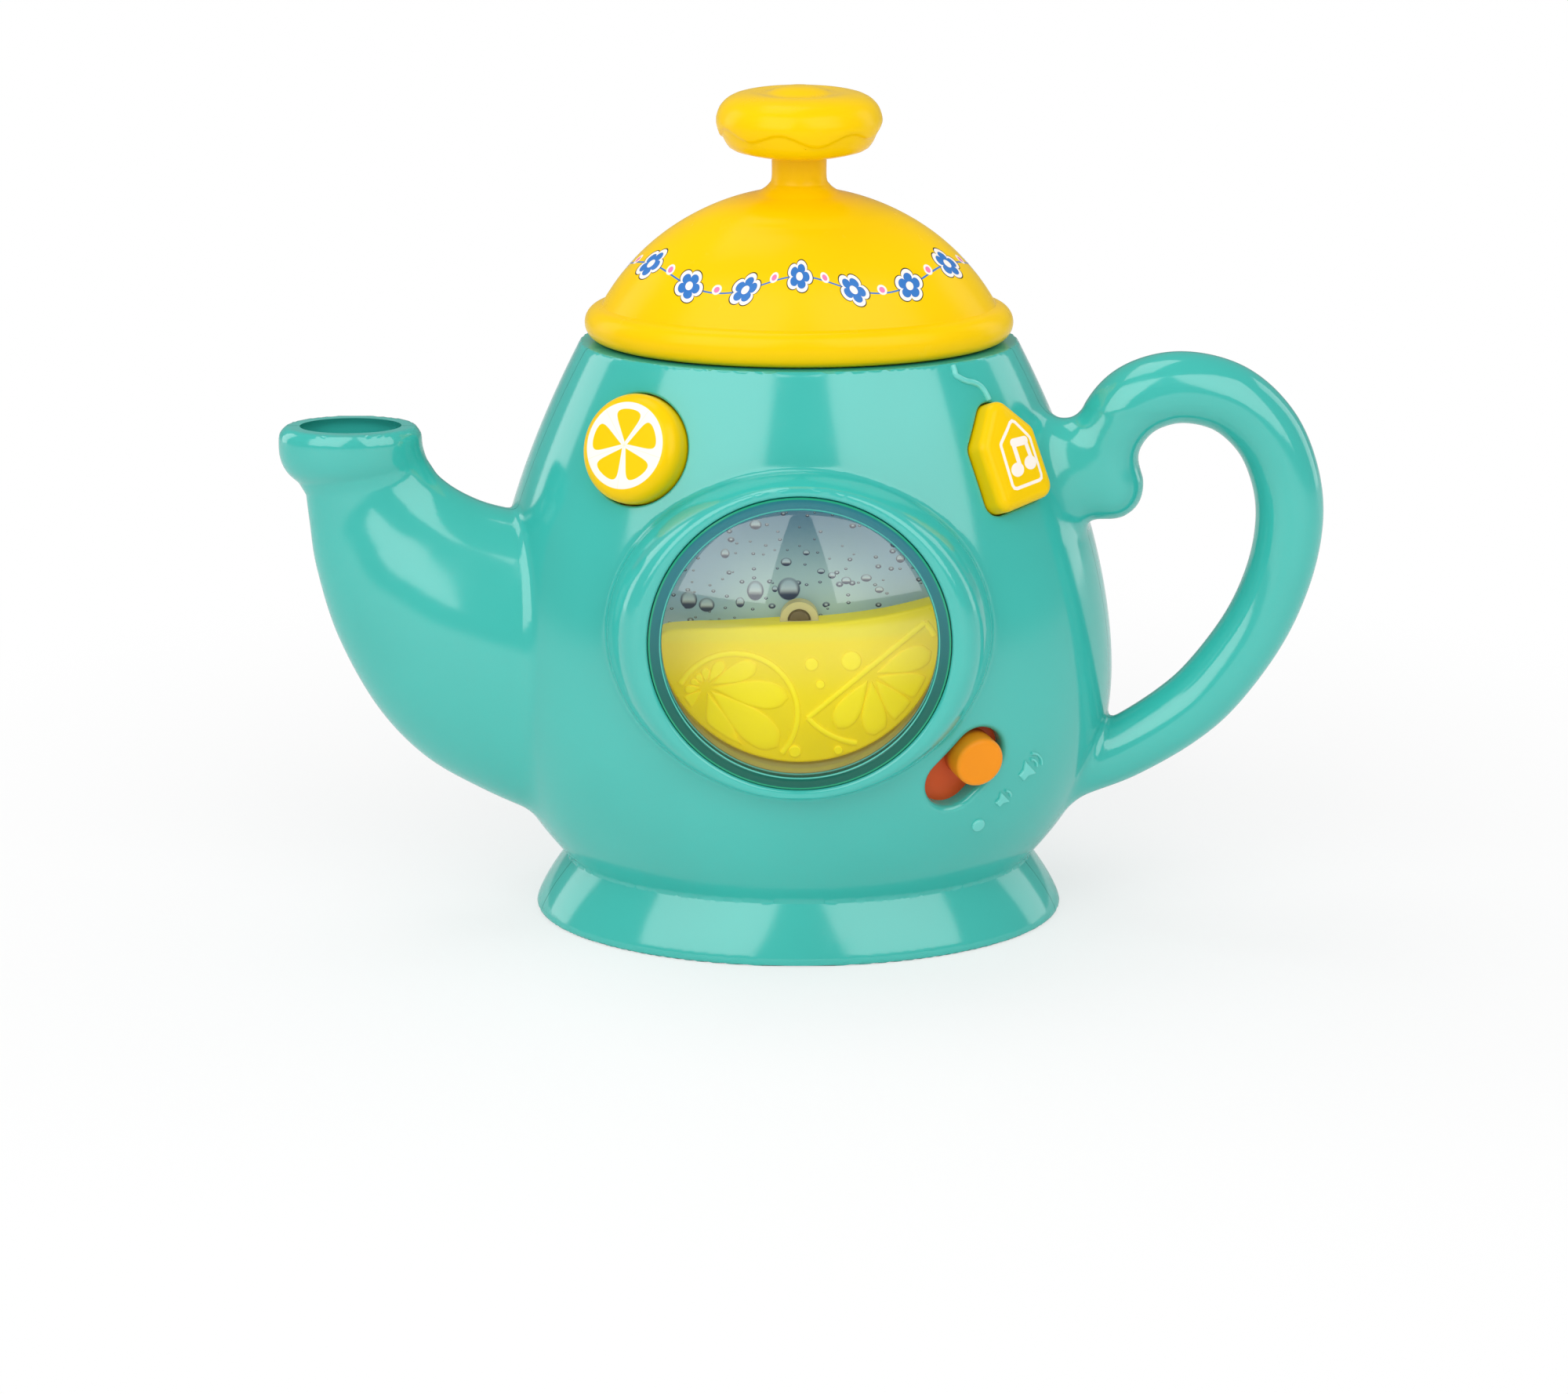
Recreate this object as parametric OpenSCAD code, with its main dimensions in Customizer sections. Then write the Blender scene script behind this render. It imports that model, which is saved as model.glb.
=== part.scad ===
// Toy teapot with a lift-off lid, two press buttons, a volume slider and a swinging wave window.
// Millimetres, +Z up, front towards -Y. The origin is the middle of the foot, on the table.

/* [Body] */
// Width of the body at its belly
body_w = 150; // [138:1:162]
// Depth of the body at its belly
body_d = 108; // [102:1:118]
// Height of the rim that the lid sits on
rim_z = 139.5; // [135:0.5:145]
// Height of the belly
belly_z = 60; // [54:1:66]
// Width of the rim under the lid
rim_w = 102.4; // [98:0.2:108]
// Width of the waist above the foot
waist_w = 112; // [106:1:118]
// Width of the foot on the table
foot_w = 128; // [122:1:136]
// Height of the foot
foot_h = 14.3; // [13:0.1:16]
// Wall thickness of the two shells
wall = 2.2; // [1.8:0.1:2.6]
// How far the seam runs in front of the middle
seam_front = 10; // [8:0.5:12]

/* [Spout and handle] */
// Reach of the spout's lip from the middle
spout_reach = 121.2; // [112:0.2:132]
// Height of the spout's mouth
spout_z = 120.8; // [112:0.2:130]
// Depth of the spout at its root
spout_root_d = 38; // [32:1:42]
// Reach of the handle from the middle
handle_reach = 122.9; // [114:0.1:134]
// Height of the handle's top
handle_z = 138.6; // [130:0.2:148]
// Thickness of the handle's tube
handle_t = 16.4; // [14:0.2:19]

/* [Lid] */
// Height of the rolled bead round the lid
bead_h = 8.2; // [7:0.1:10]
// Rise of the dome's arc above the bead
dome_rise = 26.8; // [24:0.1:30]
// Width of the neck under the knob
neck_w = 12.8; // [11:0.2:15]
// Length of the neck above its fillet
neck_l = 5.5; // [4:0.1:8]
// Width of the ring-shaped knob
knob_w = 38.4; // [34:0.2:44]
// Height of the knob
knob_h = 15.6; // [13:0.2:18]
// Number of drips round the knob
drips = 9; // [6:1:12]

/* [Window] */
// How far the window's middle lies under the rim
window_drop = 57.8; // [55:0.1:61]
// Radius of the bore that holds the lens
window_r = 34.2; // [31:0.1:36]
// How far the window's frame stands in front of the belly
window_out = 4.6; // [3:0.2:7]
// Depth of the drum behind the lens
drum_l = 25; // [22:0.5:28]
// Rise of the clear lens
lens_rise = 8.5; // [6:0.5:11]
// Depth of the wave's tray
wave_d = 7; // [5:0.5:9]
// Radius of the pin that the wave swings on
pin_r = 2.6; // [2:0.1:3]

/* [Buttons and slider] */
// Radius of the round lemon button
lemon_r = 12.6; // [11:0.1:13.6]
// Width of the tea tag button
tag_w = 17.4; // [15:0.2:19]
// Height of the tea tag button up to its peak
tag_h = 24.6; // [21:0.2:26]
// Travel of both buttons
press = 2.4; // [1.6:0.1:3]
// How far the buttons stand out
button_out = 4.6; // [3.6:0.1:5.6]
// Radius of the volume peg
peg_r = 5.9; // [5:0.1:6.6]
// Travel of the volume peg
slide = 6.5; // [5:0.5:8]

/* [Inside] */
// Radius of the loudspeaker
speaker_r = 18; // [15:0.5:20]
// Radius of one battery cell
cell_r = 5.25; // [5:0.05:5.5]
// Length of one battery cell
cell_l = 44.5; // [42:0.5:47]
// Radius of the screws' shanks
screw_r = 1.3; // [1.1:0.05:1.5]

/* [Hidden] */

// Colours
teal = [0.38, 0.79, 0.75];
yellow = [1, 0.84, 0.02];
orange = [0.97, 0.62, 0.11];
wave_yellow = [0.94, 0.87, 0.1, 0.8];
clear = [0.8, 0.9, 0.92, 0.35];
white = [0.96, 0.96, 0.94];
sky = [0.62, 0.72, 0.78];
brown = [0.5, 0.36, 0.14];
steel = [0.72, 0.73, 0.75];
green = [0.1, 0.42, 0.24];
dark = [0.16, 0.16, 0.17];
cell_blue = [0.16, 0.28, 0.55];

// Fits: a gap between pieces that move, a gap between pieces that are seated, a pin in its bore
gap = 0.35;
seat = 0.15;
running = 0.06;
// Overrun of a cut past the face that it starts from
over = 1;
// Step on which a slope is measured
probe = 0.1;

// Facets round the lofted walls, inside walls, tubes, small bosses and the lid
body_n = 52;
inner_n = 32;
tube_n = 20;
boss_n = 12;
lid_n = 44;

seam_y = -seam_front;
window_z = rim_z - window_drop;
depth_share = body_d / body_w;
foot_power = 1.4;
lower_power = 2.2;
upper_power = 1.75;

// The body's outline

function mix(a, b, t) = a + (b - a) * t;

function half_w(z) =
  z < foot_h ? mix(foot_w, waist_w, pow(max(z, 0) / foot_h, foot_power)) / 2 :
  z < belly_z ? mix(body_w, waist_w, pow((belly_z - z) / (belly_z - foot_h), lower_power)) / 2 :
  mix(body_w, rim_w, pow((z - belly_z) / (rim_z - belly_z), upper_power)) / 2;

function half_d(z) = half_w(z) * depth_share;
function slope(z) = (half_w(z + probe) - half_w(z - probe)) / (2 * probe);

// The front surface: where it lies, how far it turns to the side and how far it leans back
function front_y(x, z) = -half_d(z) * sqrt(1 - pow(x / half_w(z), 2));
function front_turn(x, z) = atan2(x / pow(half_w(z), 2), -front_y(x, z) / pow(half_d(z), 2));
function front_lean(x, z) =
  atan2(-slope(z) / half_w(z), norm([x / pow(half_w(z), 2), front_y(x, z) / pow(half_d(z), 2)]));

// Stands children on the front surface, their +Z outwards and their +Y up
module on_front(x, z) {
  translate([x, front_y(x, z), z])
    rotate([0, 0, front_turn(x, z)])
      rotate([90 - front_lean(x, z), 0, 0])
        children();
}

// Stands children on the window's axis, their +Z towards the front
module on_window(y) {
  translate([0, y, window_z])
    rotate([90, 0, 0])
      children();
}

// Rings, lofts and curves

function oval_ring(half_x, half_y, z, n) =
  [for (i = [0 : n - 1]) [half_x * cos(360 * i / n), half_y * sin(360 * i / n), z]];

// A ring across the seam plane, from one rail point to another, with its own half depth
function rail_ring(a, b, half_y, n) =
  [for (i = [0 : n - 1])
    let (p = (a + b) / 2 + (b - a) / 2 * cos(360 * i / n))
    [p.x, seam_y + half_y * sin(360 * i / n), p.y]];

function curve_at(p, i, t) =
  let (a = p[max(i - 1, 0)], b = p[i], c = p[i + 1], d = p[min(i + 2, len(p) - 1)])
  (2 * b + (c - a) * t + (2 * a - 5 * b + 4 * c - d) * t * t + (3 * b - a - 3 * c + d) * t * t * t) / 2;

function smooth_curve(p, steps) =
  concat([for (i = [0 : len(p) - 2]) for (s = [0 : steps - 1]) curve_at(p, i, s / steps)], [p[len(p) - 1]]);

function flat(lists) = [for (l = lists) for (v = l) v];

// A solid through rings of equal count, each pair joined by its own hull
module loft(rings) {
  for (i = [0 : len(rings) - 2])
    hull()
      polyhedron(concat(rings[i], rings[i + 1]), [[for (k = [0 : len(rings[i]) - 1]) k],
        [for (k = [0 : len(rings[i + 1]) - 1]) len(rings[i]) + k]]);
}

// The side faces between rings i and j of n points
function side_faces(i, j, n) =
  [for (k = [0 : n - 1]) for (f = [[i * n + k, j * n + k, j * n + (k + 1) % n],
    [i * n + k, j * n + (k + 1) % n, i * n + (k + 1) % n]]) f];

// A closed skin over rings: with end caps, or with the last ring joined to the first
module skin(rings, looped = false) {
  n = len(rings[0]);
  m = len(rings);
  sides = flat([for (i = [0 : m - 2]) side_faces(i, i + 1, n)]);
  ends = looped ? side_faces(m - 1, 0, n) :
    [[for (k = [0 : n - 1]) k], [for (k = [n - 1 : -1 : 0]) (m - 1) * n + k]];
  polyhedron(flat(rings), concat(sides, ends));
}

module oval(half_x, half_y, h) {
  linear_extrude(h)
    polygon([for (p = oval_ring(half_x, half_y, 0, body_n)) [p.x, p.y]]);
}

module tube(outer_r, inner_r, h) {
  difference() {
    cylinder(r = outer_r, h = h);
    translate([0, 0, -over])
      cylinder(r = inner_r, h = h + 2 * over);
  }
}

// A plate with round ends, its middle on the origin
module stadium(run, r, h) {
  linear_extrude(h) {
    for (side = [-1, 1])
      translate([side * run / 2, 0])
        circle(r);
    square([run, 2 * r], center = true);
  }
}

module block(size) {
  translate([-size.x / 2, -size.y / 2, 0])
    cube(size);
}

// A convex outline with every corner rounded to r, then grown all round
function unit(v) = v / norm(v);
function corner_arc(a, b, c, r, grow, steps) =
  let (u = unit(a - b), v = unit(c - b), half = acos(u * v) / 2,
    middle = b + unit(u + v) * r / sin(half),
    from = b + u * r / tan(half) - middle,
    to = b + v * r / tan(half) - middle,
    start = atan2(from.y, from.x),
    turn = (atan2(to.y, to.x) - start + 540) % 360 - 180)
  [for (k = [0 : steps]) let (at = start + turn * k / steps) middle + (r + grow) * [cos(at), sin(at)]];
function rounded(p, r, grow, steps) =
  flat([for (i = [0 : len(p) - 1])
    corner_arc(p[(i + len(p) - 1) % len(p)], p[i], p[(i + 1) % len(p)], r, grow, steps)]);

// Screws: large ones in the shells, small ones in the boards

screw_head_r = screw_r * 2;
screw_head_h = screw_r * 1.3;
screw_hole_r = screw_r + seat;
counterbore_r = screw_head_r + 2 * seat;
boss_t = 2;
boss_r = screw_r + boss_t;
small_screw_r = 0.9;
small_hole_r = small_screw_r + seat;
small_screw_l = 4;
post_r = 2.3;
board_t = 1.4;

// A pan head screw: its tip stands on z = 0 and its head is up
module screw(length) {
  cylinder(r = screw_r, h = length, $fn = 24);
  translate([0, 0, length])
    difference() {
      cylinder(r = screw_head_r, h = screw_head_h, $fn = 24);
      for (turn = [0, 90])
        rotate([0, 0, turn])
          translate([0, 0, screw_head_h / 2])
            block([screw_head_r * 1.2, screw_head_r / 4, screw_head_h]);
    }
}

// A small screw that stands up from z = 0, its head below
module back_screw() {
  cylinder(r = small_screw_r, h = small_screw_l, $fn = 16);
  translate([0, 0, -small_screw_r])
    cylinder(r = small_screw_r * 2, h = small_screw_r, $fn = 16);
}

// The two shells' common walls

lower_levels = 7;
upper_levels = 12;
foot_level_shares = [0, 0.12, 0.45, 0.75];
body_levels = concat(
  [for (s = foot_level_shares) s * foot_h],
  [for (i = [0 : lower_levels - 1]) mix(foot_h, belly_z, i / lower_levels)],
  [for (i = [0 : upper_levels]) mix(belly_z, rim_z, i / upper_levels)]);
lip_t = 2;

module body_skin() {
  loft([for (z = body_levels) oval_ring(half_w(z), half_d(z), z, body_n)]);
}

module body_cavity() {
  levels = [for (z = body_levels) if (z < rim_z - lip_t - wall) z];
  top = rim_z - lip_t;
  loft(concat(
    [oval_ring(half_w(0) - wall, half_d(0) - wall, -over, inner_n)],
    [for (z = levels) oval_ring(half_w(z) - wall, half_d(z) - wall, z, inner_n)],
    [oval_ring(half_w(top) - wall, half_d(top) - wall, top, inner_n)]));
}

// The spout's two rails, lower and upper, as x and z, and its depth:
// shares of its reach, its height and its root's depth. First the lip and collar, then the curve
lip_rail_shares = [
  [0.986, 1.003, 0.738, 1.003, 0.59],
  [1, 0.985, 0.727, 0.987, 0.64],
  [1, 0.945, 0.725, 0.966, 0.64],
  [0.988, 0.915, 0.722, 0.951, 0.6],
  [0.966, 0.893, 0.717, 0.936, 0.52]];
curve_rail_shares = [
  [0.952, 0.868, 0.708, 0.921, 0.49],
  [0.947, 0.812, 0.692, 0.899, 0.52],
  [0.936, 0.72, 0.656, 0.872, 0.62],
  [0.899, 0.585, 0.605, 0.848, 0.78],
  [0.827, 0.443, 0.54, 0.832, 0.92],
  [0.735, 0.34, 0.47, 0.817, 1],
  [0.62, 0.27, 0.4, 0.8, 1.04],
  [0.5, 0.215, 0.34, 0.78, 1.06]];
spout_steps = 2;
spout_rails = concat(lip_rail_shares, smooth_curve(curve_rail_shares, spout_steps));
spout_n = 28;
channel_n = 18;
lip_wall = wall * 1.45;

module spout_solid(inset, n) {
  rails = [for (s = spout_rails)
    [-s[0] * spout_reach, s[1] * spout_z, -s[2] * spout_reach, s[3] * spout_z, s[4] * spout_root_d / 2]];
  rings = [for (r = rails)
    let (a = [r[0], r[1]], b = [r[2], r[3]], aim = unit(b - a) * inset)
    rail_ring(a + aim, b - aim, r[4] - inset, n)];
  lift = [for (p = rings[0]) [p.x, p.y, p.z + (inset > 0 ? over : 0)]];
  loft(inset > 0 ? concat([lift], rings) : rings);
}

// The hollow of the spout, closed by the body's own wall
module spout_channel() {
  difference() {
    spout_solid(lip_wall, channel_n);
    body_skin();
  }
}

// The handle's middle line from its lower root to the end of its curl: x, z and thickness,
// as shares of its reach, its height and its tube
handle_line_shares = [
  [0.455, 0.248, 0.98],
  [0.545, 0.279, 0.93],
  [0.63, 0.309, 0.92],
  [0.729, 0.364, 0.95],
  [0.801, 0.424, 0.96],
  [0.876, 0.521, 0.95],
  [0.92, 0.618, 0.95],
  [0.936, 0.71, 0.965],
  [0.924, 0.79, 0.97],
  [0.884, 0.866, 0.98],
  [0.812, 0.922, 1],
  [0.718, 0.94, 1.02],
  [0.636, 0.917, 1.04],
  [0.589, 0.862, 1],
  [0.586, 0.806, 0.88],
  [0.605, 0.763, 0.8]];
handle_steps = 2;
handle_line = smooth_curve([for (s = handle_line_shares)
  [s[0] * handle_reach, s[1] * handle_z, s[2] * handle_t / 2]], handle_steps);

function handle_tangent(i) =
  let (a = handle_line[max(i - 1, 0)], b = handle_line[min(i + 1, len(handle_line) - 1)])
  unit([b.x - a.x, b.y - a.y]);

module handle_solid(inset, n, stride) {
  rings = [for (i = [0 : stride : len(handle_line) - 1])
    let (p = handle_line[i], t = handle_tangent(i), across = [-t.y, t.x] * (p.z - inset))
    rail_ring([p.x, p.y] - across, [p.x, p.y] + across, p.z - inset, n)];
  loft(rings);
}

// The block between the handle's curl and the body, and the curl's round end
curl_end = handle_line[len(handle_line) - 1];
root_shares = [[0.42, 0.705, 0.89], [0.53, 0.715, 0.882], [0.57, 0.717, 0.868], [0.605, 0.717, 0.83]];
module handle_root() {
  half_y = handle_t / 2;
  loft([for (i = [0 : len(root_shares) - 1])
    let (s = root_shares[i], x = s[0] * handle_reach)
    rail_ring([x, s[1] * handle_z], [x, s[2] * handle_z], half_y * (i < 2 ? 1 : 0.86), tube_n)]);
}

module curl_tip() {
  translate([curl_end.x, seam_y, curl_end.y])
    sphere(r = curl_end.z, $fn = tube_n);
}

module teapot_outside() {
  body_skin();
  spout_solid(0, spout_n);
  handle_solid(0, tube_n, 1);
  handle_root();
  curl_tip();
}

module handle_hollow() {
  difference() {
    handle_solid(wall, boss_n, 2);
    body_skin();
  }
}

// Screws that close the shells: x, z and length across the seam plane
shell_screw_l = 12;
handle_screw_l = shell_screw_l * 0.6;
handle_screw_share = 0.467;
handle_screw_at = handle_line[round(handle_screw_share * (len(handle_line) - 1))];
low_screw_shares = [0.36, 0.235];
mid_screw_shares = [0.415, 0.6];
spout_screw_shares = [0.745, 0.5];
top_screw_z = window_z + window_r + boss_r + 2 * wall;
shell_screw_spots = concat(
  [for (side = [-1, 1]) for (s = [low_screw_shares, mid_screw_shares])
    [side * s.x * body_w, s.y * rim_z, shell_screw_l]],
  [[0, top_screw_z, shell_screw_l],
    [-spout_screw_shares.x * spout_reach, spout_screw_shares.y * spout_z, shell_screw_l],
    [handle_screw_at.x, handle_screw_at.y, handle_screw_l]]);
screw_web = 3;
sunk_boss_r = counterbore_r + wall * 0.8;

// A round bar along Y at one place across the seam
module bar_along_y(spot, r, from, to) {
  translate([spot.x, from, spot.y])
    rotate([-90, 0, 0])
      cylinder(r = r, h = to - from, $fn = boss_n);
}

// The base plate and what holds it

plate_t = 4;
plate_gap = 2 * gap;
plate_half_w = half_w(plate_t) - wall - plate_gap;
plate_half_d = half_d(plate_t) - wall - plate_gap;
base_spot_shares = [0.84, 0.41];
base_room = [min(plate_half_w, half_w(foot_h) - wall), min(plate_half_d, half_d(foot_h) - wall)];
base_spots = [for (side = [-1, 1]) for (end = [-1, 1])
  [side * base_spot_shares.x * base_room.x, end * base_spot_shares.y * base_room.y]];
base_screw_l = 9;
base_boss_r = boss_r * 1.35;
base_boss_h = foot_h * 1.4;

module base_bosses() {
  for (spot = base_spots)
    translate([spot.x, spot.y, plate_t])
      cylinder(r = base_boss_r, h = base_boss_h, $fn = boss_n);
}

module base_pilots() {
  for (spot = base_spots)
    translate([spot.x, spot.y, plate_t - over])
      cylinder(r = screw_hole_r, h = base_screw_l + over, $fn = boss_n);
}

// The window's frame, a flare from the body to a flat ring with a lip in front of the lens

window_y = -half_d(belly_z) - window_out;
frame_w = 2.6;
lens_lip = 2;
lens_flange_w = 1.2;
lens_flange_t = 1.6;
lens_flange_r = window_r + lens_flange_w;
sleeve_in_r = lens_flange_r + seat;
sleeve_r = sleeve_in_r + wall * 0.8;
// The drum's ears lie just behind the wall that they reach at the window's height
ear_r = sleeve_r + boss_r / 2;
sleeve_l = max(front_y(ear_r + boss_r, window_z), front_y(0, window_z + sleeve_r)) - window_y
  + wall * 1.5 + gap;
flare_half_w = window_r * 1.29;
flare_half_h = window_r * 1.11;
flare_drop = window_r * 0.05;
flare_l = window_out + body_d * 0.13;

module window_flare() {
  hull() {
    on_window(window_y + frame_w / 2)
      cylinder(r = window_r + frame_w, h = frame_w / 4, $fn = body_n);
    on_window(window_y + frame_w)
      cylinder(r = window_r + frame_w * 1.3, h = frame_w / 2, $fn = body_n);
    on_window(window_y)
      translate([0, 0, -probe])
        cylinder(r = window_r + frame_w / 2, h = probe, $fn = body_n);
    on_window(window_y + flare_l)
      translate([0, -flare_drop, 0])
        oval(flare_half_w, flare_half_h, frame_w);
  }
}

module window_sleeve() {
  on_window(window_y + sleeve_l)
    cylinder(r = sleeve_r, h = sleeve_l - frame_w, $fn = body_n);
}

// Ears of the drum and their bosses, round the window's axis
ear_turns = [0, 180, 270];
ear_boss_l = 9;
drum_screw_l = 7;
module at_ears(y) {
  on_window(y)
    for (turn = ear_turns)
      rotate([0, 0, turn])
        translate([ear_r, 0, 0])
          rotate([0, 0, -turn])
            children();
}

// The buttons' places, guides and boards

lemon_x = -37.3;
lemon_drop = 18.4;
lemon_z = rim_z - lemon_drop;
tag_x = 46.6;
tag_drop = 21.1;
tag_z = rim_z - tag_drop;
tag_turn = 8;
tag_round = 3.2;
tag_peak_w = 3.6;
tag_shoulder_share = 0.66;
guide_l = 4;
guide_t = 1.5;
flange_t = 1.2;
flange_w = 1.1;
dome_h = 3;
button_bottom = -guide_l - gap - flange_t;
button_board_depth = press + gap + dome_h - button_bottom;
tag_corner_r = norm([tag_w / 2 - tag_round, tag_h / 2 - tag_round]) + tag_round;
lemon_board_reach = lemon_r + flange_w + post_r + gap;
tag_board_reach = tag_corner_r + flange_w + post_r + gap;
lemon_board_turn = 15;
tag_board_turn = 145;

function tag_outline(grow) =
  let (w = tag_w / 2, low = -tag_h / 2, high = tag_h / 2, shoulder = mix(low, high, tag_shoulder_share))
  rounded([[-w, low], [w, low], [w, shoulder], [tag_peak_w / 2, high], [-tag_peak_w / 2, high], [-w, shoulder]],
    tag_round, grow, 4);

module at_lemon() {
  on_front(lemon_x, lemon_z)
    children();
}

module at_tag() {
  on_front(tag_x, tag_z)
    rotate([0, 0, tag_turn])
      children();
}

// Stands children at both ends of each button's board, the board's back at the given height
module at_board_ends(h) {
  at_lemon()
    rotate([0, 0, lemon_board_turn])
      for (side = [-1, 1])
        translate([side * lemon_board_reach, 0, h])
          children();
  on_front(tag_x, tag_z)
    rotate([0, 0, tag_board_turn])
      for (side = [-1, 1])
        translate([side * tag_board_reach, 0, h])
          children();
}

// The slider's place, its slot and its signs

slot_x = 38.5;
slot_drop = 33.3;
slot_z = window_z - slot_drop;
slot_turn = 45;
slot_run = 9;
slot_gap = 0.4;
slot_depth = 4.6;
slot_wall = 1.4;
slider_plate_t = 1.5;
slider_half_w = peg_r + slot_gap + slot_wall;
slider_half_l = (slot_run + slide) / 2 + peg_r + slot_gap + gap;
switch_room = 6.5;
switch_board_depth = slot_depth + gap + slider_plate_t + switch_room;
switch_post_x = slider_half_l + slide / 2 + post_r + gap;
label_gap = 13.2;
label_pitch = 9;
label_start = 0.5;
label_h = 0.6;

module at_slot() {
  on_front(slot_x, slot_z)
    rotate([0, 0, slot_turn])
      children();
}

// Stands a sign beside the slot, a number of pitches along it
module at_label(steps) {
  along = label_start + steps * label_pitch;
  dx = along * cos(slot_turn) + label_gap * sin(slot_turn);
  dz = along * sin(slot_turn) - label_gap * cos(slot_turn);
  on_front(slot_x + dx * cos(front_turn(slot_x, slot_z)), slot_z + dz)
    translate([0, 0, -label_h])
      children();
}

// A loudspeaker sign with curved waves beside it
speaker_sign_shares = [[-0.5, -0.2], [-0.22, -0.2], [0.12, -0.5], [0.12, 0.5], [-0.22, 0.2], [-0.5, 0.2]];
sector_shares = [[0, 0], [1.2, 0.9], [1.2, -0.9]];
module speaker_sign(size, waves) {
  linear_extrude(2 * label_h)
    rotate([0, 0, slot_turn]) {
      polygon(speaker_sign_shares * size);
      for (i = [1 : waves])
        intersection() {
          difference() {
            circle(r = size * (0.22 + 0.26 * i), $fn = 24);
            circle(r = size * (0.1 + 0.26 * i), $fn = 24);
          }
          polygon(sector_shares * size);
        }
    }
}

module volume_signs() {
  at_label(-1)
    cylinder(r = label_pitch * 0.19, h = 2 * label_h, $fn = 16);
  at_label(0)
    speaker_sign(label_pitch * 0.4, 1);
  at_label(1)
    speaker_sign(label_pitch * 0.54, 2);
}

module slot_pocket() {
  translate([0, 0, -slot_depth])
    stadium(slot_run, peg_r + slot_gap + slot_wall, slot_depth + 2 * wall, $fn = 24);
  for (side = [-1, 1])
    translate([side * switch_post_x, 0, -switch_board_depth])
      cylinder(r = post_r, h = switch_board_depth, $fn = boss_n);
}

module slot_cut() {
  translate([0, 0, -slot_depth - over])
    stadium(slot_run, peg_r + slot_gap, slot_depth + 4 * over, $fn = 32);
  for (side = [-1, 1])
    translate([side * switch_post_x, 0, -switch_board_depth - over])
      cylinder(r = small_hole_r, h = small_screw_l + over, $fn = boss_n);
}

// The front shell

module front_inner_works() {
  for (spot = shell_screw_spots)
    bar_along_y(spot, boss_r, -body_d, seam_y);
  base_bosses();
  window_sleeve();
  at_ears(window_y + sleeve_l)
    cylinder(r = boss_r, h = ear_boss_l, $fn = boss_n);
  at_lemon()
    translate([0, 0, -guide_l])
      cylinder(r = lemon_r + gap + guide_t, h = 2 * guide_l, $fn = 32);
  at_tag()
    translate([0, 0, -guide_l])
      linear_extrude(2 * guide_l)
        polygon(tag_outline(gap + guide_t));
  at_board_ends(-button_board_depth)
    cylinder(r = post_r, h = button_board_depth, $fn = boss_n);
  at_slot()
    slot_pocket();
}

module front_cuts() {
  for (spot = shell_screw_spots)
    bar_along_y(spot, screw_hole_r, seam_y + screw_web - spot.z, seam_y + over);
  base_pilots();
  on_window(window_y + body_d / 2)
    cylinder(r = window_r, h = body_d, $fn = 72);
  on_window(window_y + body_d / 2)
    cylinder(r = sleeve_in_r, h = body_d / 2 - lens_lip, $fn = 72);
  at_ears(window_y + sleeve_l + over)
    cylinder(r = screw_hole_r, h = drum_screw_l + over, $fn = boss_n);
  at_lemon()
    translate([0, 0, -guide_l - over])
      cylinder(r = lemon_r + gap, h = 3 * guide_l, $fn = 48);
  at_tag()
    translate([0, 0, -guide_l - over])
      linear_extrude(3 * guide_l)
        polygon(tag_outline(gap));
  at_board_ends(-button_board_depth - over)
    cylinder(r = small_hole_r, h = small_screw_l + over, $fn = boss_n);
  at_slot()
    slot_cut();
}

// Everything behind the seam, or in front of it
module half_space(side) {
  translate([0, seam_y + side * body_d, rim_z / 2])
    cube([3 * body_w, 2 * body_d, 3 * rim_z], center = true);
}

module rim_opening() {
  translate([0, 0, rim_z - 2 * lip_t])
    oval(well_half_w + seat, well_half_d + seat, 4 * lip_t);
}

module front_shell() {
  color(teal)
    difference() {
      union() {
        difference() {
          union() {
            teapot_outside();
            window_flare();
          }
          body_cavity();
          spout_channel();
          handle_hollow();
        }
        intersection() {
          union() {
            teapot_outside();
            window_flare();
          }
          front_inner_works();
        }
        volume_signs();
      }
      front_cuts();
      rim_opening();
      half_space(1);
    }
}

// The rear shell

speaker_rise = 6.3;
speaker_z = window_z + speaker_rise;
grille_rings = 3;
grille_hole_r = 1.3;
speaker_face_y = body_d * 0.37;
speaker_screw_l = small_screw_l;
speaker_post_r = speaker_r + post_r + gap;

// Stands children on the loudspeaker's axis, their +Z towards the back
module on_speaker(y) {
  translate([0, y, speaker_z])
    rotate([-90, 0, 0])
      children();
}

module at_speaker_posts(y) {
  on_speaker(y)
    for (i = [0 : 2])
      rotate([0, 0, 120 * i - 90])
        translate([speaker_post_r, 0, 0])
          children();
}

module grille_holes() {
  on_speaker(speaker_face_y)
    for (ring = [0 : grille_rings])
      for (k = [0 : max(6 * ring, 1) - 1])
        rotate([0, 0, k * 60 / max(ring, 1)])
          translate([ring * speaker_r * 0.25, 0, 0])
            cylinder(r = grille_hole_r, h = body_d / 2, $fn = 8);
}

module rear_inner_works() {
  for (spot = shell_screw_spots)
    bar_along_y(spot, sunk_boss_r, seam_y, body_d);
  base_bosses();
  at_speaker_posts(speaker_face_y)
    cylinder(r = post_r, h = body_d / 2, $fn = boss_n);
}

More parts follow.
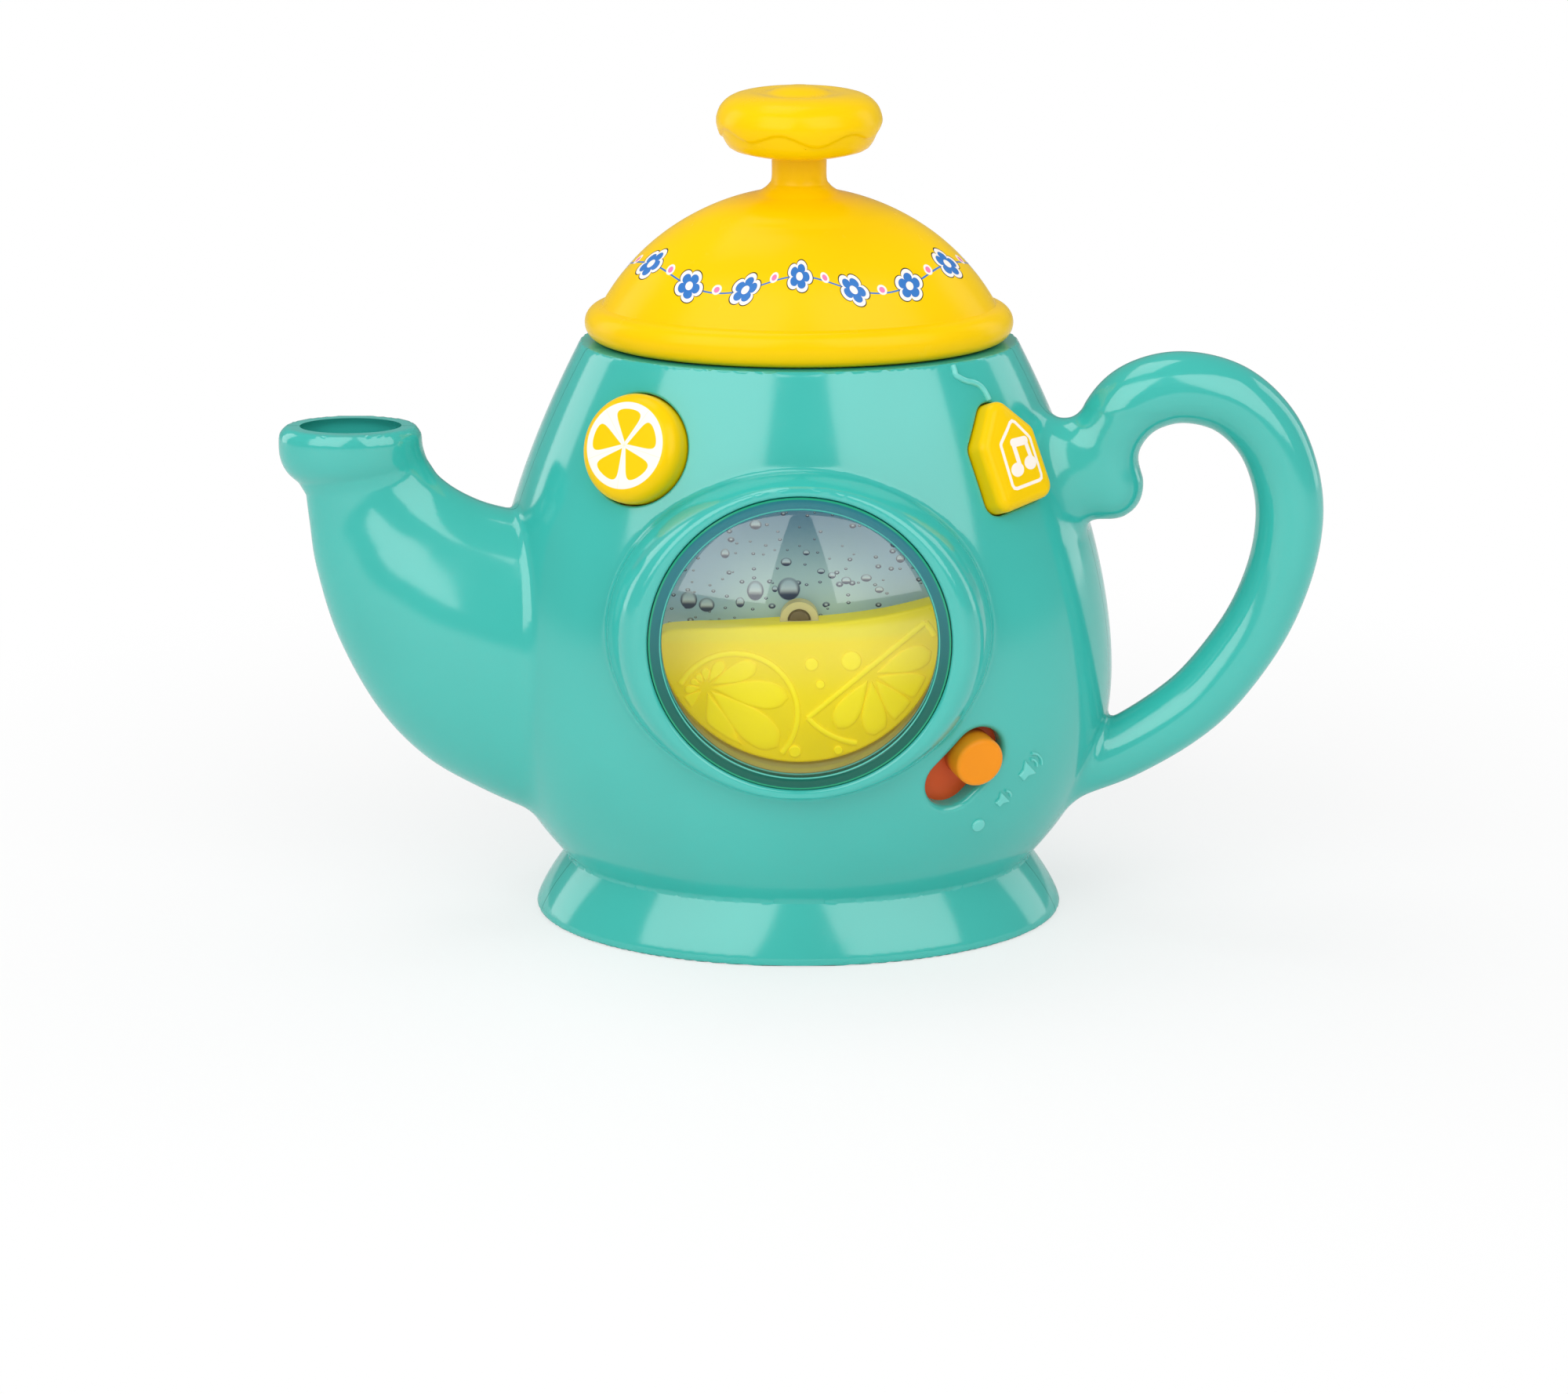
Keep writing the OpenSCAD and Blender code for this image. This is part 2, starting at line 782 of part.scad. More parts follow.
module rear_cuts() {
  for (spot = shell_screw_spots) {
    bar_along_y(spot, screw_hole_r, seam_y - over, seam_y + screw_web + over);
    bar_along_y(spot, counterbore_r, seam_y + screw_web, body_d);
  }
  base_pilots();
  grille_holes();
  at_speaker_posts(speaker_face_y - over)
    cylinder(r = small_hole_r, h = speaker_screw_l + over, $fn = boss_n);
}

module rear_shell() {
  color(teal)
    difference() {
      union() {
        difference() {
          teapot_outside();
          body_cavity();
          spout_channel();
          handle_hollow();
        }
        intersection() {
          teapot_outside();
          rear_inner_works();
        }
      }
      rear_cuts();
      rim_opening();
      half_space(-1);
    }
}

module shell_screws() {
  color(steel)
    for (spot = shell_screw_spots)
      translate([spot.x, seam_y + screw_web - spot.z, spot.y])
        rotate([-90, 0, 0])
          screw(spot.z);
}

// The tray under the lid

well_in = 6.6;
well_half_w = rim_w / 2 - well_in;
well_half_d = well_half_w * depth_share;
well_t = 1.8;
well_depth = 8;
well_flange_w = 3;

module top_well() {
  color(teal)
    difference() {
      union() {
        translate([0, 0, rim_z - well_depth - well_t])
          oval(well_half_w, well_half_d, well_depth + well_t - seat);
        translate([0, 0, rim_z - lip_t - seat - well_t])
          oval(well_half_w + well_flange_w, well_half_d + well_flange_w * depth_share, well_t);
      }
      translate([0, 0, rim_z - well_depth])
        oval(well_half_w - well_t, well_half_d - well_t, well_depth + over);
    }
}

// The base plate with its battery box

cells = 3;
box_wall = 1.6;
cell_gap = 0.4;
door_t = 2.6;
contact_t = 0.5;
spring_l = 2.1;
box_in = [cell_l + 2 * (contact_t + seat) + spring_l, cells * 2 * cell_r + (cells + 1) * cell_gap,
  2 * (cell_r + seat)];
cell_z = door_t + seat + cell_r;
box_top = door_t + box_in.z + box_wall;
door_ledge = 2;
door_ear = 9;
door_l = box_in.x + 2 * door_ledge + door_ear;
door_w = box_in.y + 2 * door_ledge;
door_x = door_ear / 2;
door_screw_x = door_x + door_l / 2 - door_ear / 2;
door_screw_l = 7;
door_boss_h = door_t + door_screw_l + box_wall;
door_sink = screw_head_h + seat;
main_gap = 3.4;
main_z = box_top + main_gap;
main_size = [46, 32];
main_post_in = 3;

module at_main_posts(z) {
  for (side = [-1, 1])
    for (end = [-1, 1])
      translate([side * (main_size.x / 2 - main_post_in), end * (main_size.y / 2 - main_post_in), z])
        children();
}

module base_plate() {
  color(teal)
    difference() {
      union() {
        oval(plate_half_w, plate_half_d, plate_t);
        block([box_in.x + 2 * box_wall, box_in.y + 2 * box_wall, box_top]);
        translate([door_screw_x, 0, 0])
          cylinder(r = boss_r, h = door_boss_h);
        at_main_posts(box_top - over)
          cylinder(r = post_r, h = main_z - box_top + over);
      }
      translate([door_x, 0, -over])
        block([door_l + 2 * seat, door_w + 2 * seat, door_t + over]);
      translate([0, 0, -over])
        block([box_in.x, box_in.y, door_t + box_in.z + over]);
      translate([door_screw_x, 0, 0])
        cylinder(r = screw_hole_r, h = door_sink + door_screw_l + seat);
      at_main_posts(main_z - small_screw_l)
        cylinder(r = small_hole_r, h = small_screw_l + over);
      for (spot = base_spots)
        translate([spot.x, spot.y, -over]) {
          cylinder(r = screw_hole_r, h = plate_t + 2 * over);
          cylinder(r = counterbore_r, h = door_sink + over);
        }
    }
}

grip_count = 5;
module battery_door() {
  color(teal)
    difference() {
      translate([door_x, 0, 0])
        block([door_l, door_w, door_t]);
      translate([door_screw_x, 0, -over])
        cylinder(r = screw_hole_r, h = door_t + 2 * over);
      translate([door_screw_x, 0, -over])
        cylinder(r = counterbore_r, h = door_sink + over);
      for (i = [1 : grip_count])
        translate([door_x - door_l / 2 + i * door_t, 0, -over])
          block([door_t / 2, door_w / 3, over + door_t / 4]);
    }
}

// A screw with its head down, sunk in the underside
module sunk_screw(length) {
  translate([0, 0, door_sink + length])
    rotate([180, 0, 0])
      screw(length);
}

module door_screw() {
  color(steel)
    translate([door_screw_x, 0, 0])
      sunk_screw(door_screw_l);
}

module base_screws() {
  color(steel)
    for (spot = base_spots)
      translate([spot.x, spot.y, 0])
        sunk_screw(base_screw_l);
}

// Stands children at each cell: the even ones face right and the odd ones left
module at_cells() {
  for (i = [0 : cells - 1])
    translate([0, (i - (cells - 1) / 2) * (2 * cell_r + cell_gap), cell_z])
      rotate([0, 0, 180 * (i % 2)])
        children();
}

nub_l = 1;
nub_r = 1.9;
module batteries() {
  color(cell_blue)
    at_cells()
      translate([spring_l / 2 - cell_l / 2, 0, 0])
        rotate([0, 90, 0]) {
          cylinder(r = cell_r, h = cell_l - nub_l);
          cylinder(r = nub_r, h = cell_l);
        }
}

module contact_plates() {
  color(steel)
    at_cells()
      for (side = [-1, 1])
        translate([side * (box_in.x / 2 - contact_t / 2), 0, -cell_r * 0.8])
          block([contact_t, cell_r * 1.6, cell_r * 1.6]);
}

module contact_springs() {
  color(steel)
    at_cells()
      translate([contact_t - box_in.x / 2, 0, 0])
        rotate([0, 90, 0])
          cylinder(r1 = cell_r * 0.6, r2 = cell_r * 0.3, h = spring_l);
}

module main_board() {
  color(green)
    difference() {
      translate([0, 0, main_z])
        block([main_size.x, main_size.y, board_t]);
      at_main_posts(main_z - over)
        cylinder(r = small_hole_r, h = board_t + 2 * over);
    }
}

module sound_chip() {
  color(dark) {
    translate([-main_size.x / 6, 0, main_z + board_t])
      cylinder(r1 = main_size.y / 5, r2 = main_size.y / 8, h = board_t);
    translate([main_size.x / 4, main_size.y / 5, main_z + board_t])
      cylinder(r = main_size.y / 10, h = main_size.y / 4);
  }
}

// The window: its lens from the flange that the lip holds to the middle of the dome

lens_t = 2.2;
lens_edge_w = 3.2;
lens_clear_r = window_r - lens_edge_w;
lens_ball = (lens_clear_r * lens_clear_r + lens_rise * lens_rise) / (2 * lens_rise);
lens_arc = 12;
lens_front = lens_flange_t + lens_lip - seat * 2;
lens_back_y = window_y + lens_lip + lens_flange_t;

// Points of an arc from the axis outwards, its edge at reach and base
function cap_arc(ball, reach, base) =
  let (edge = asin(reach / ball))
  [for (i = [0 : lens_arc]) ball * [sin(edge * i / lens_arc), cos(edge * i / lens_arc) - cos(edge)] + [0, base]];
function reversed(p) = [for (i = [len(p) - 1 : -1 : 0]) p[i]];

module window_lens() {
  inner_reach = lens_clear_r - lens_t / 2;
  color(clear)
    on_window(lens_back_y)
      rotate_extrude($fn = 72)
        polygon(concat(
          cap_arc(lens_ball, lens_clear_r, lens_front),
          [[window_r - seat, lens_front], [window_r - seat, lens_flange_t],
            [lens_flange_r, lens_flange_t], [lens_flange_r, 0], [inner_reach, 0]],
          reversed(cap_arc(lens_ball - lens_t, inner_reach, lens_front - lens_t / 2))));
}

drum_back_y = lens_back_y + drum_l;
drum_t = 1.6;
drum_flange_t = 2;
panel_t = 1;
pin_head_r = pin_r * 1.45;
pin_head_h = 1.2;
light_hole_r = 4;
light_drop = pin_head_r + light_hole_r + 2 * gap;
light_post_l = 5;
light_size = [40, 18];
light_post_x = light_size.x / 2 - post_r - gap;
drum_ear_y = window_y + sleeve_l + drum_flange_t;

// Stands children on both posts of the lamp's board, level with the light's hole
module at_light_posts(y) {
  on_window(y)
    for (side = [-1, 1])
      translate([side * light_post_x, -light_drop, 0])
        children();
}

module window_drum() {
  color(white)
    difference() {
      union() {
        on_window(drum_back_y)
          cylinder(r = lens_flange_r, h = drum_l);
        on_window(drum_ear_y)
          cylinder(r = sleeve_r, h = drum_flange_t);
        at_ears(drum_ear_y)
          cylinder(r = boss_r, h = drum_flange_t);
        at_light_posts(drum_back_y + light_post_l)
          cylinder(r = post_r, h = light_post_l + drum_t / 2);
      }
      on_window(drum_back_y - drum_t)
        cylinder(r = lens_flange_r - drum_t, h = drum_l);
      on_window(drum_back_y + over)
        translate([0, -light_drop, 0])
          cylinder(r = light_hole_r, h = drum_t + 2 * over);
      on_window(drum_back_y + over)
        cylinder(r = pin_r + running, h = drum_t + 2 * over);
      at_ears(drum_ear_y + over)
        cylinder(r = screw_hole_r, h = drum_flange_t + 2 * over);
      at_light_posts(drum_back_y + light_post_l + over)
        cylinder(r = small_hole_r, h = small_screw_l + over);
    }
}

module drum_screws() {
  color(steel)
    at_ears(drum_ear_y - drum_screw_l)
      rotate([180, 0, 0])
        screw(drum_screw_l);
}

module droplet_panel() {
  color(sky)
    on_window(drum_back_y - drum_t)
      tube(lens_flange_r - drum_t - seat, pin_r + gap, panel_t);
}

// The wave: a tray open at its back, held by a pin that turns in the drum's back
wave_t = 1.5;
wave_r = lens_flange_r - drum_t - 2 * gap;
wave_back_y = drum_back_y - drum_t - panel_t - 4 * gap;
hub_r = pin_r + wall * 0.8;
wave_edge_shares = [[-0.985, -0.11], [-0.93, -0.05], [-0.75, -0.03], [-0.53, -0.025], [-0.3, -0.012],
  [-0.1, 0], [0.15, 0.008], [0.4, 0.035], [0.61, 0.07], [0.8, 0.115], [0.96, 0.16]];
wave_arc = 40;

// The wave's outline, its wall moved inwards by the inset
function wave_outline(inset) =
  let (r = wave_r - inset,
    edge = [for (s = wave_edge_shares) [s.x * r, s.y * wave_r - inset]],
    from = 360 + atan2(edge[0].y, edge[0].x),
    last = edge[len(edge) - 1],
    to = 360 + atan2(last.y, last.x))
  concat([for (i = [0 : wave_arc]) r * [cos(mix(from, to, i / wave_arc)), sin(mix(from, to, i / wave_arc))]],
    reversed(edge));

module wave_plate() {
  color(wave_yellow)
    on_window(wave_back_y)
      difference() {
        union() {
          difference() {
            linear_extrude(wave_d)
              polygon(wave_outline(0));
            translate([0, 0, -over])
              linear_extrude(wave_d - wave_t + over)
                polygon(wave_outline(wave_t));
          }
          cylinder(r = hub_r, h = wave_d - 2 * wave_t);
        }
        translate([0, 0, -over])
          cylinder(r = pin_r, h = wave_d - wave_t + over);
      }
}

module pivot_pin() {
  color(brown)
    on_window(drum_back_y + gap) {
      cylinder(r = pin_r, h = drum_back_y + gap - wave_back_y + wave_d - wave_t);
      translate([0, 0, -pin_head_h])
        cylinder(r = pin_head_r, h = pin_head_h);
    }
}

module light_board() {
  color(green)
    difference() {
      on_window(drum_back_y + light_post_l + board_t)
        translate([0, -light_drop, 0])
          block([light_size.x, light_size.y, board_t]);
      at_light_posts(drum_back_y + light_post_l + board_t + over)
        cylinder(r = small_hole_r, h = board_t + 2 * over);
    }
}

module light_diode() {
  color(white)
    on_window(drum_back_y + light_post_l)
      translate([0, -light_drop, 0])
        cylinder(r = light_hole_r / 2, h = light_post_l - gap);
}

// Buttons, their rubber domes and boards

lemon_edge = button_out * 0.86;
module lemon_button() {
  color(yellow)
    at_lemon()
      rotate_extrude($fn = 64)
        polygon(concat(
          [[0, button_bottom], [lemon_r + flange_w, button_bottom], [lemon_r + flange_w, button_bottom + flange_t],
            [lemon_r, button_bottom + flange_t]],
          [for (i = [0 : 6]) let (a = 15 * i)
            [lemon_r - lemon_edge + lemon_edge * cos(a), button_out - lemon_edge + lemon_edge * sin(a)]],
          [[0, button_out]]));
}

tag_edge = 2.6;
module teabag_button() {
  color(yellow)
    at_tag() {
      hull() {
        for (turn = [0, 25, 50, 90])
          translate([0, 0, button_bottom + flange_t])
            linear_extrude(button_out - tag_edge - button_bottom - flange_t + tag_edge * sin(turn))
              polygon(tag_outline(-tag_edge * (1 - cos(turn))));
      }
      translate([0, 0, button_bottom])
        linear_extrude(flange_t)
          polygon(tag_outline(flange_w));
    }
}

// A squat rubber dome on its board, clear of the pressed button
dome_shares = [[0, 0], [1.9, 0], [1.9, 0.25], [1.5, 0.33], [1.15, 0.9], [0.9, 1], [0, 1]];
module dome_at_board() {
  translate([0, 0, -button_board_depth])
    rotate_extrude($fn = 32)
      polygon(dome_shares * dome_h);
}

module board_at_posts(reach) {
  difference() {
    translate([0, 0, -button_board_depth - board_t]) {
      stadium(2 * reach, post_r * 1.35, board_t, $fn = 24);
      cylinder(r = dome_h * 2.2, h = board_t, $fn = 32);
    }
    for (side = [-1, 1])
      translate([side * reach, 0, -button_board_depth - board_t - over])
        cylinder(r = small_hole_r, h = board_t + 2 * over);
  }
}

module lemon_dome() {
  color(dark)
    at_lemon()
      dome_at_board();
}

module lemon_board() {
  color(green)
    at_lemon()
      rotate([0, 0, lemon_board_turn])
        board_at_posts(lemon_board_reach);
}

module teabag_dome() {
  color(dark)
    at_tag()
      dome_at_board();
}

module teabag_board() {
  color(green)
    on_front(tag_x, tag_z)
      rotate([0, 0, tag_board_turn])
        board_at_posts(tag_board_reach);
}

// The screws of every board, their heads behind it
module board_screws() {
  color(steel) {
    at_board_ends(-button_board_depth - board_t)
      back_screw();
    at_slot()
      for (side = [-1, 1])
        translate([side * switch_post_x, 0, -switch_board_depth - board_t])
          back_screw();
    at_light_posts(drum_back_y + light_post_l + board_t)
      back_screw();
    at_main_posts(main_z + board_t)
      rotate([180, 0, 0])
        back_screw();
  }
}

// The volume slider, drawn at its loud end

peg_out = 2.4;
peg_edge = 1.2;
peg_top = slider_plate_t + gap + slot_depth + peg_out;
tongue = [2.4, 2, 3.4];

module volume_slider() {
  color(orange)
    at_slot()
      translate([slide / 2, 0, -slot_depth - gap - slider_plate_t]) {
        stadium(2 * slider_half_l - 2 * slider_half_w, slider_half_w, slider_plate_t, $fn = 48);
        rotate_extrude($fn = 48)
          polygon(concat(
            [[0, 0], [peg_r, 0]],
            [for (i = [0 : 4]) let (a = 22.5 * i)
              [peg_r - peg_edge + peg_edge * cos(a), peg_top - peg_edge + peg_edge * sin(a)]],
            [[0, peg_top]]));
        translate([0, 0, -tongue.z])
          block([tongue.x, tongue.y, tongue.z + slider_plate_t / 2]);
      }
}

switch_size = [22, 7, 5.4];
switch_floor = 1;
module slide_switch() {
  color(dark)
    at_slot()
      translate([0, 0, -switch_board_depth])
        difference() {
          block(switch_size);
          translate([0, 0, switch_floor])
            block([slide + tongue.x + 2 * gap, tongue.y + 2 * gap, switch_size.z]);
        }
}

module switch_board() {
  color(green)
    at_slot()
      difference() {
        translate([0, 0, -switch_board_depth - board_t])
          stadium(2 * switch_post_x, post_r * 2, board_t, $fn = 24);
        for (side = [-1, 1])
          translate([side * switch_post_x, 0, -switch_board_depth - board_t - over])
            cylinder(r = small_hole_r, h = board_t + 2 * over);
      }
}

// The loudspeaker, its flange against the posts

frame_t = 1;
basket_l = 7;
cone_edge_r = speaker_r * 0.88;
magnet_r = speaker_r * 0.6;
magnet_l = 5;
// The ears that are screwed to the posts start in the flange
tab_in_r = (cone_edge_r + speaker_r) / 2;
tab_out_r = speaker_post_r + post_r * 0.8;

module speaker_frame() {
  color(steel) {
    on_speaker(speaker_face_y - basket_l)
      rotate_extrude($fn = 64)
        polygon([[magnet_r / 2, 0], [magnet_r + frame_t, 0], [cone_edge_r + frame_t, basket_l - frame_t],
          [speaker_r, basket_l - frame_t], [speaker_r, basket_l], [cone_edge_r, basket_l],
          [magnet_r, frame_t], [magnet_r / 2, frame_t]]);
    at_speaker_posts(speaker_face_y - frame_t)
      difference() {
        translate([(tab_in_r + tab_out_r) / 2 - speaker_post_r, 0, 0])
          block([tab_out_r - tab_in_r, post_r * 1.8, frame_t]);
        translate([0, 0, -over])
          cylinder(r = small_hole_r, h = frame_t + 2 * over);
      }
  }
}

module speaker_cone() {
  color(dark)
    on_speaker(speaker_face_y - basket_l)
      rotate_extrude($fn = 64)
        polygon([[0, frame_t + seat], [magnet_r * 0.7, frame_t + seat],
          [cone_edge_r - frame_t - seat, basket_l - frame_t], [cone_edge_r - 2 * seat, basket_l],
          [cone_edge_r - 2 * frame_t, basket_l - frame_t / 2],
          [magnet_r / 2, basket_l * 0.4], [0, basket_l / 2]]);
}

module speaker_magnet() {
  color(dark)
    on_speaker(speaker_face_y - basket_l - magnet_l)
      cylinder(r = magnet_r, h = magnet_l, $fn = 64);
}

module speaker_screws() {
  color(steel)
    at_speaker_posts(speaker_face_y - frame_t)
      back_screw();
}

// The lid

lid_z = rim_z + gap;
lid_t = 2;
bead_r = bead_h / 2;
bead_half_w = rim_w * 0.489;
dome_base_r = bead_half_w - bead_r;
dome_r = (dome_base_r * dome_base_r + dome_rise * dome_rise) / (2 * dome_rise);
dome_z = lid_z + bead_h + seat - sqrt(dome_r * dome_r - dome_base_r * dome_base_r);
// Where the dome's arc ends and the neck's fillet begins
dome_in = neck_w * 0.9;
function dome_height(r) = dome_z + sqrt(dome_r * dome_r - r * r);

// Rings grow rounder from the oval rim to the round neck
function lid_roundness(r) = min(1, max(0, (r - neck_w / 2) / (bead_half_w / 2 - neck_w / 2)));
function lid_ring(r, z) = oval_ring(r, r * mix(1, depth_share, lid_roundness(r)), z, lid_n);

bead_turns = [-60, -30, 0, 30, 60];
dome_steps = 11;
dome_power = 0.8;
function dome_outline(inset) =
  [for (i = [0 : dome_steps]) let (r = mix(dome_base_r, dome_in, pow(i / dome_steps, dome_power)))
    [r - inset, dome_height(r) - inset * 0.6]];
neck_fillet_shares = [[0.34, 0.12], [0.62, 0.32], [0.84, 0.58], [1, 1]];
fillet_top_z = dome_height(dome_in) + neck_w * 0.3;
neck_z = fillet_top_z + neck_l;

module lid_dome() {
  crown_z = dome_height(dome_in);
  outside = concat(
    [[dome_base_r, lid_z]],
    [for (a = bead_turns) [dome_base_r + bead_r * cos(a), lid_z + bead_r + bead_r * sin(a)]],
    dome_outline(0),
    [for (s = neck_fillet_shares) [mix(dome_in, neck_w / 2, s.x), mix(crown_z, fillet_top_z, s.y)]],
    [[neck_w / 2, neck_z]]);
  bore = screw_r + seat * 2;
  inner_arc = dome_outline(lid_t);
  inside = concat(
    [[bore, neck_z], [bore, crown_z - 2 * lid_t]],
    [for (i = [dome_steps : -2 : 1]) inner_arc[i] - [0, lid_t / 2]],
    [[dome_base_r - lid_t, lid_z + bead_h], [dome_base_r - lid_t, lid_z]]);
  color(yellow)
    skin([for (p = concat(outside, inside)) lid_ring(p.x, p.y)], true);
}

// The knob: a ring-shaped bun with a wavy edge of icing and a plug in its middle
knob_z = neck_z + seat;
knob_r = knob_w / 2;
drip_share = 0.075;
icing_share = 0.42;
icing_t = 0.8;
bun_shares = [[0, 0.6], [0.07, 0.82], [0.15, 0.9], [0.31, 0.965], [0.47, 1], [0.56, 0.99], [0.68, 0.93],
  [0.77, 0.85], [0.86, 0.745]];
crown_shares = [[0.66, 0.915], [0.57, 0.935], [0.52, 0.915], [0.5, 0.925], [0.49, 0.985], [0.46, 1]];
under_level_shares = [0.07, 0.15, 0.24, 0.3];
icing_level_shares = [0.56, 0.62, 0.68, 0.77, 0.86];
icing_step_share = 0.02;
function bun_r(s) = knob_r * lookup(s, bun_shares);
function knob_wave(a) = drip_share * (cos(drips * a) + 0.35 * cos((drips - 4) * a + 40));
function knob_ring(r, s) =
  [for (i = [0 : lid_n - 1]) [r * cos(360 * i / lid_n), r * sin(360 * i / lid_n), knob_z + s * knob_h]];
function wavy_ring(grow, s) =
  [for (i = [0 : lid_n - 1])
    let (a = 360 * i / lid_n, h = s + knob_wave(a), r = bun_r(h) + grow)
    [r * cos(a), r * sin(a), knob_z + h * knob_h]];

module lid_knob() {
  hole = screw_r + seat;
  color(yellow)
    skin(concat(
      [knob_ring(hole, icing_share), knob_ring(hole, 0), knob_ring(bun_r(0) - icing_t, 0)],
      [for (s = under_level_shares) knob_ring(bun_r(s) - icing_t, s)],
      [wavy_ring(-icing_t, icing_share - icing_step_share), wavy_ring(0, icing_share)],
      [for (s = icing_level_shares) knob_ring(bun_r(s), s)],
      [for (p = crown_shares) knob_ring(p.x * knob_r, p.y)]));
}

liner_t = 1.8;
skirt_h = 5;
skirt_half_w = well_half_w - well_t - gap * 2;
skirt_half_d = well_half_d - well_t - gap * 2;
liner_half_w = dome_base_r - lid_t - seat * 2;
liner_half_d = liner_half_w * depth_share - seat * 2;

module lid_liner() {
  color(yellow)
    difference() {
      union() {
        translate([0, 0, lid_z])
          oval(liner_half_w, liner_half_d, liner_t);
        translate([0, 0, lid_z - skirt_h])
          oval(skirt_half_w, skirt_half_d, skirt_h + liner_t / 2);
        translate([0, 0, lid_z])
          cylinder(r = neck_w / 2, h = dome_height(dome_in) - 2 * lid_t - seat - lid_z);
      }
      translate([0, 0, lid_z - skirt_h - over])
        oval(skirt_half_w - liner_t, skirt_half_d - liner_t, skirt_h + over);
      translate([0, 0, lid_z - over])
        cylinder(r = screw_hole_r, h = neck_z - lid_z);
    }
}

lid_screw_l = neck_z - lid_z + knob_h * 0.38;
module lid_screw() {
  color(steel)
    translate([0, 0, lid_z + lid_screw_l])
      rotate([180, 0, 0])
        screw(lid_screw_l);
}

front_shell();
rear_shell();
top_well();
base_plate();
battery_door();
door_screw();
batteries();
contact_plates();
contact_springs();
base_screws();
shell_screws();
window_lens();
window_drum();
drum_screws();
droplet_panel();
pivot_pin();
wave_plate();
light_board();
light_diode();
lemon_button();
lemon_dome();
lemon_board();
teabag_button();
teabag_dome();
teabag_board();
board_screws();
volume_slider();
switch_board();
slide_switch();
main_board();
sound_chip();
speaker_frame();
speaker_cone();
speaker_magnet();
speaker_screws();
lid_dome();
lid_knob();
lid_liner();
lid_screw();
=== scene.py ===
import bpy
import bmesh
import math
import numpy as np
from mathutils import Matrix, Vector
from mathutils.bvhtree import BVHTree


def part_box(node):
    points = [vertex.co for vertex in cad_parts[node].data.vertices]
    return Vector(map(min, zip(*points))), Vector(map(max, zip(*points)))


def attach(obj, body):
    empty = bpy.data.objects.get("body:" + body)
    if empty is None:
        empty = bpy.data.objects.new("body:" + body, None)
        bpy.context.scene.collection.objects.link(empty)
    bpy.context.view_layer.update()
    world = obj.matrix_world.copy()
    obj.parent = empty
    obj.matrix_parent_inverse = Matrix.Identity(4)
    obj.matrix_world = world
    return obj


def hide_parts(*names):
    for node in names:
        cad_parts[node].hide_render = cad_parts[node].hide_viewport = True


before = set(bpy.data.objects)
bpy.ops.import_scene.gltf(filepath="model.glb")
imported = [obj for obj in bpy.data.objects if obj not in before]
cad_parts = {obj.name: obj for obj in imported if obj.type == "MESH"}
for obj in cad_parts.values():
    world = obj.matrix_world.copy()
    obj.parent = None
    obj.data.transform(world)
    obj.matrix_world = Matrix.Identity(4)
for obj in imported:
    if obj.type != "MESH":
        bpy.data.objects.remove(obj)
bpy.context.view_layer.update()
mm = 0.001
print("frame loaded:", len(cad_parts), "nodes")

# camera, floor and lamps

view = {
    "place": (-3.5, -900.0, 323.0),  # mm
    "pitch": 16.75,  # degrees below the horizon
    "lens": 89.73,
    "floorSize": 12.0,  # metres
    "floorTone": 0.94,
    "floorPatch": 0.02,  # how much the tone wanders
    "fadeStart": 0.08,  # metres from the middle, where the floor starts to turn white
    "fadeEnd": 0.34,
    "glowShare": 0.62,  # keeps the shadow soft and pale
    "worldLevel": 0.46,
    "glossLevel": 0.32,  # what the gloss sees of the world
}
lampRows = {
    # name: place in metres, aims at, width, height, watts, lights, shows in gloss
    "leftSoftbox": ((-0.56, -1.02, 0.98), (0, 0, 0.08), 0.95, 1.0, 7.4, True, False),
    "rightSoftbox": ((0.56, -1.02, 0.98), (0, 0, 0.08), 0.95, 1.0, 6.0, True, False),
    "leftScreen": ((-0.73, -1.04, 0.84), (0, 0, 0.08), 1.2, 1.3, 11.2, False, True),
    "rightScreen": ((0.76, -1.02, 0.84), (0, 0, 0.08), 1.2, 1.3, 10.4, False, True),
    "leftPanel": ((-1.35, 0.55, 0.5), (0, 0, 0.08), 0.6, 1.3, 4.6, True, True),
    "rightPanel": ((1.35, 0.55, 0.5), (0, 0, 0.08), 0.6, 1.3, 3.6, True, True),
    "topSoftbox": ((-0.25, 0.15, 1.3), (0, 0, 0.05), 0.8, 0.6, 3.2, True, True),
}


def newCamera():
    camera = bpy.data.objects.new("photoCamera", bpy.data.cameras.new("photoCamera"))
    bpy.context.scene.collection.objects.link(camera)
    camera.location = [v * mm for v in view["place"]]
    camera.rotation_euler = (math.radians(90 - view["pitch"]), 0, 0)
    camera.data.lens = view["lens"]
    camera.data.sensor_width = 36
    camera.data.clip_start = 0.01
    camera.data.clip_end = 50
    bpy.context.scene.camera = camera


def newLamp(name, place, aim, width, height, watts, lights, shows):
    lamp = bpy.data.objects.new(name, bpy.data.lights.new(name, "AREA"))
    bpy.context.scene.collection.objects.link(lamp)
    lamp.data.shape = "RECTANGLE"
    lamp.data.size = width
    lamp.data.size_y = height
    lamp.data.energy = watts
    lamp.visible_diffuse = lights
    lamp.visible_glossy = shows
    lamp.location = place
    lamp.rotation_euler = (Vector(aim) - Vector(place)).to_track_quat("-Z", "Y").to_euler()


newCamera()
for lampName, row in lampRows.items():
    newLamp(lampName, *row)
bpy.context.scene.view_settings.view_transform = "Standard"
print("camera and lamps placed")


# shader kit: an expression on values adds its Math nodes

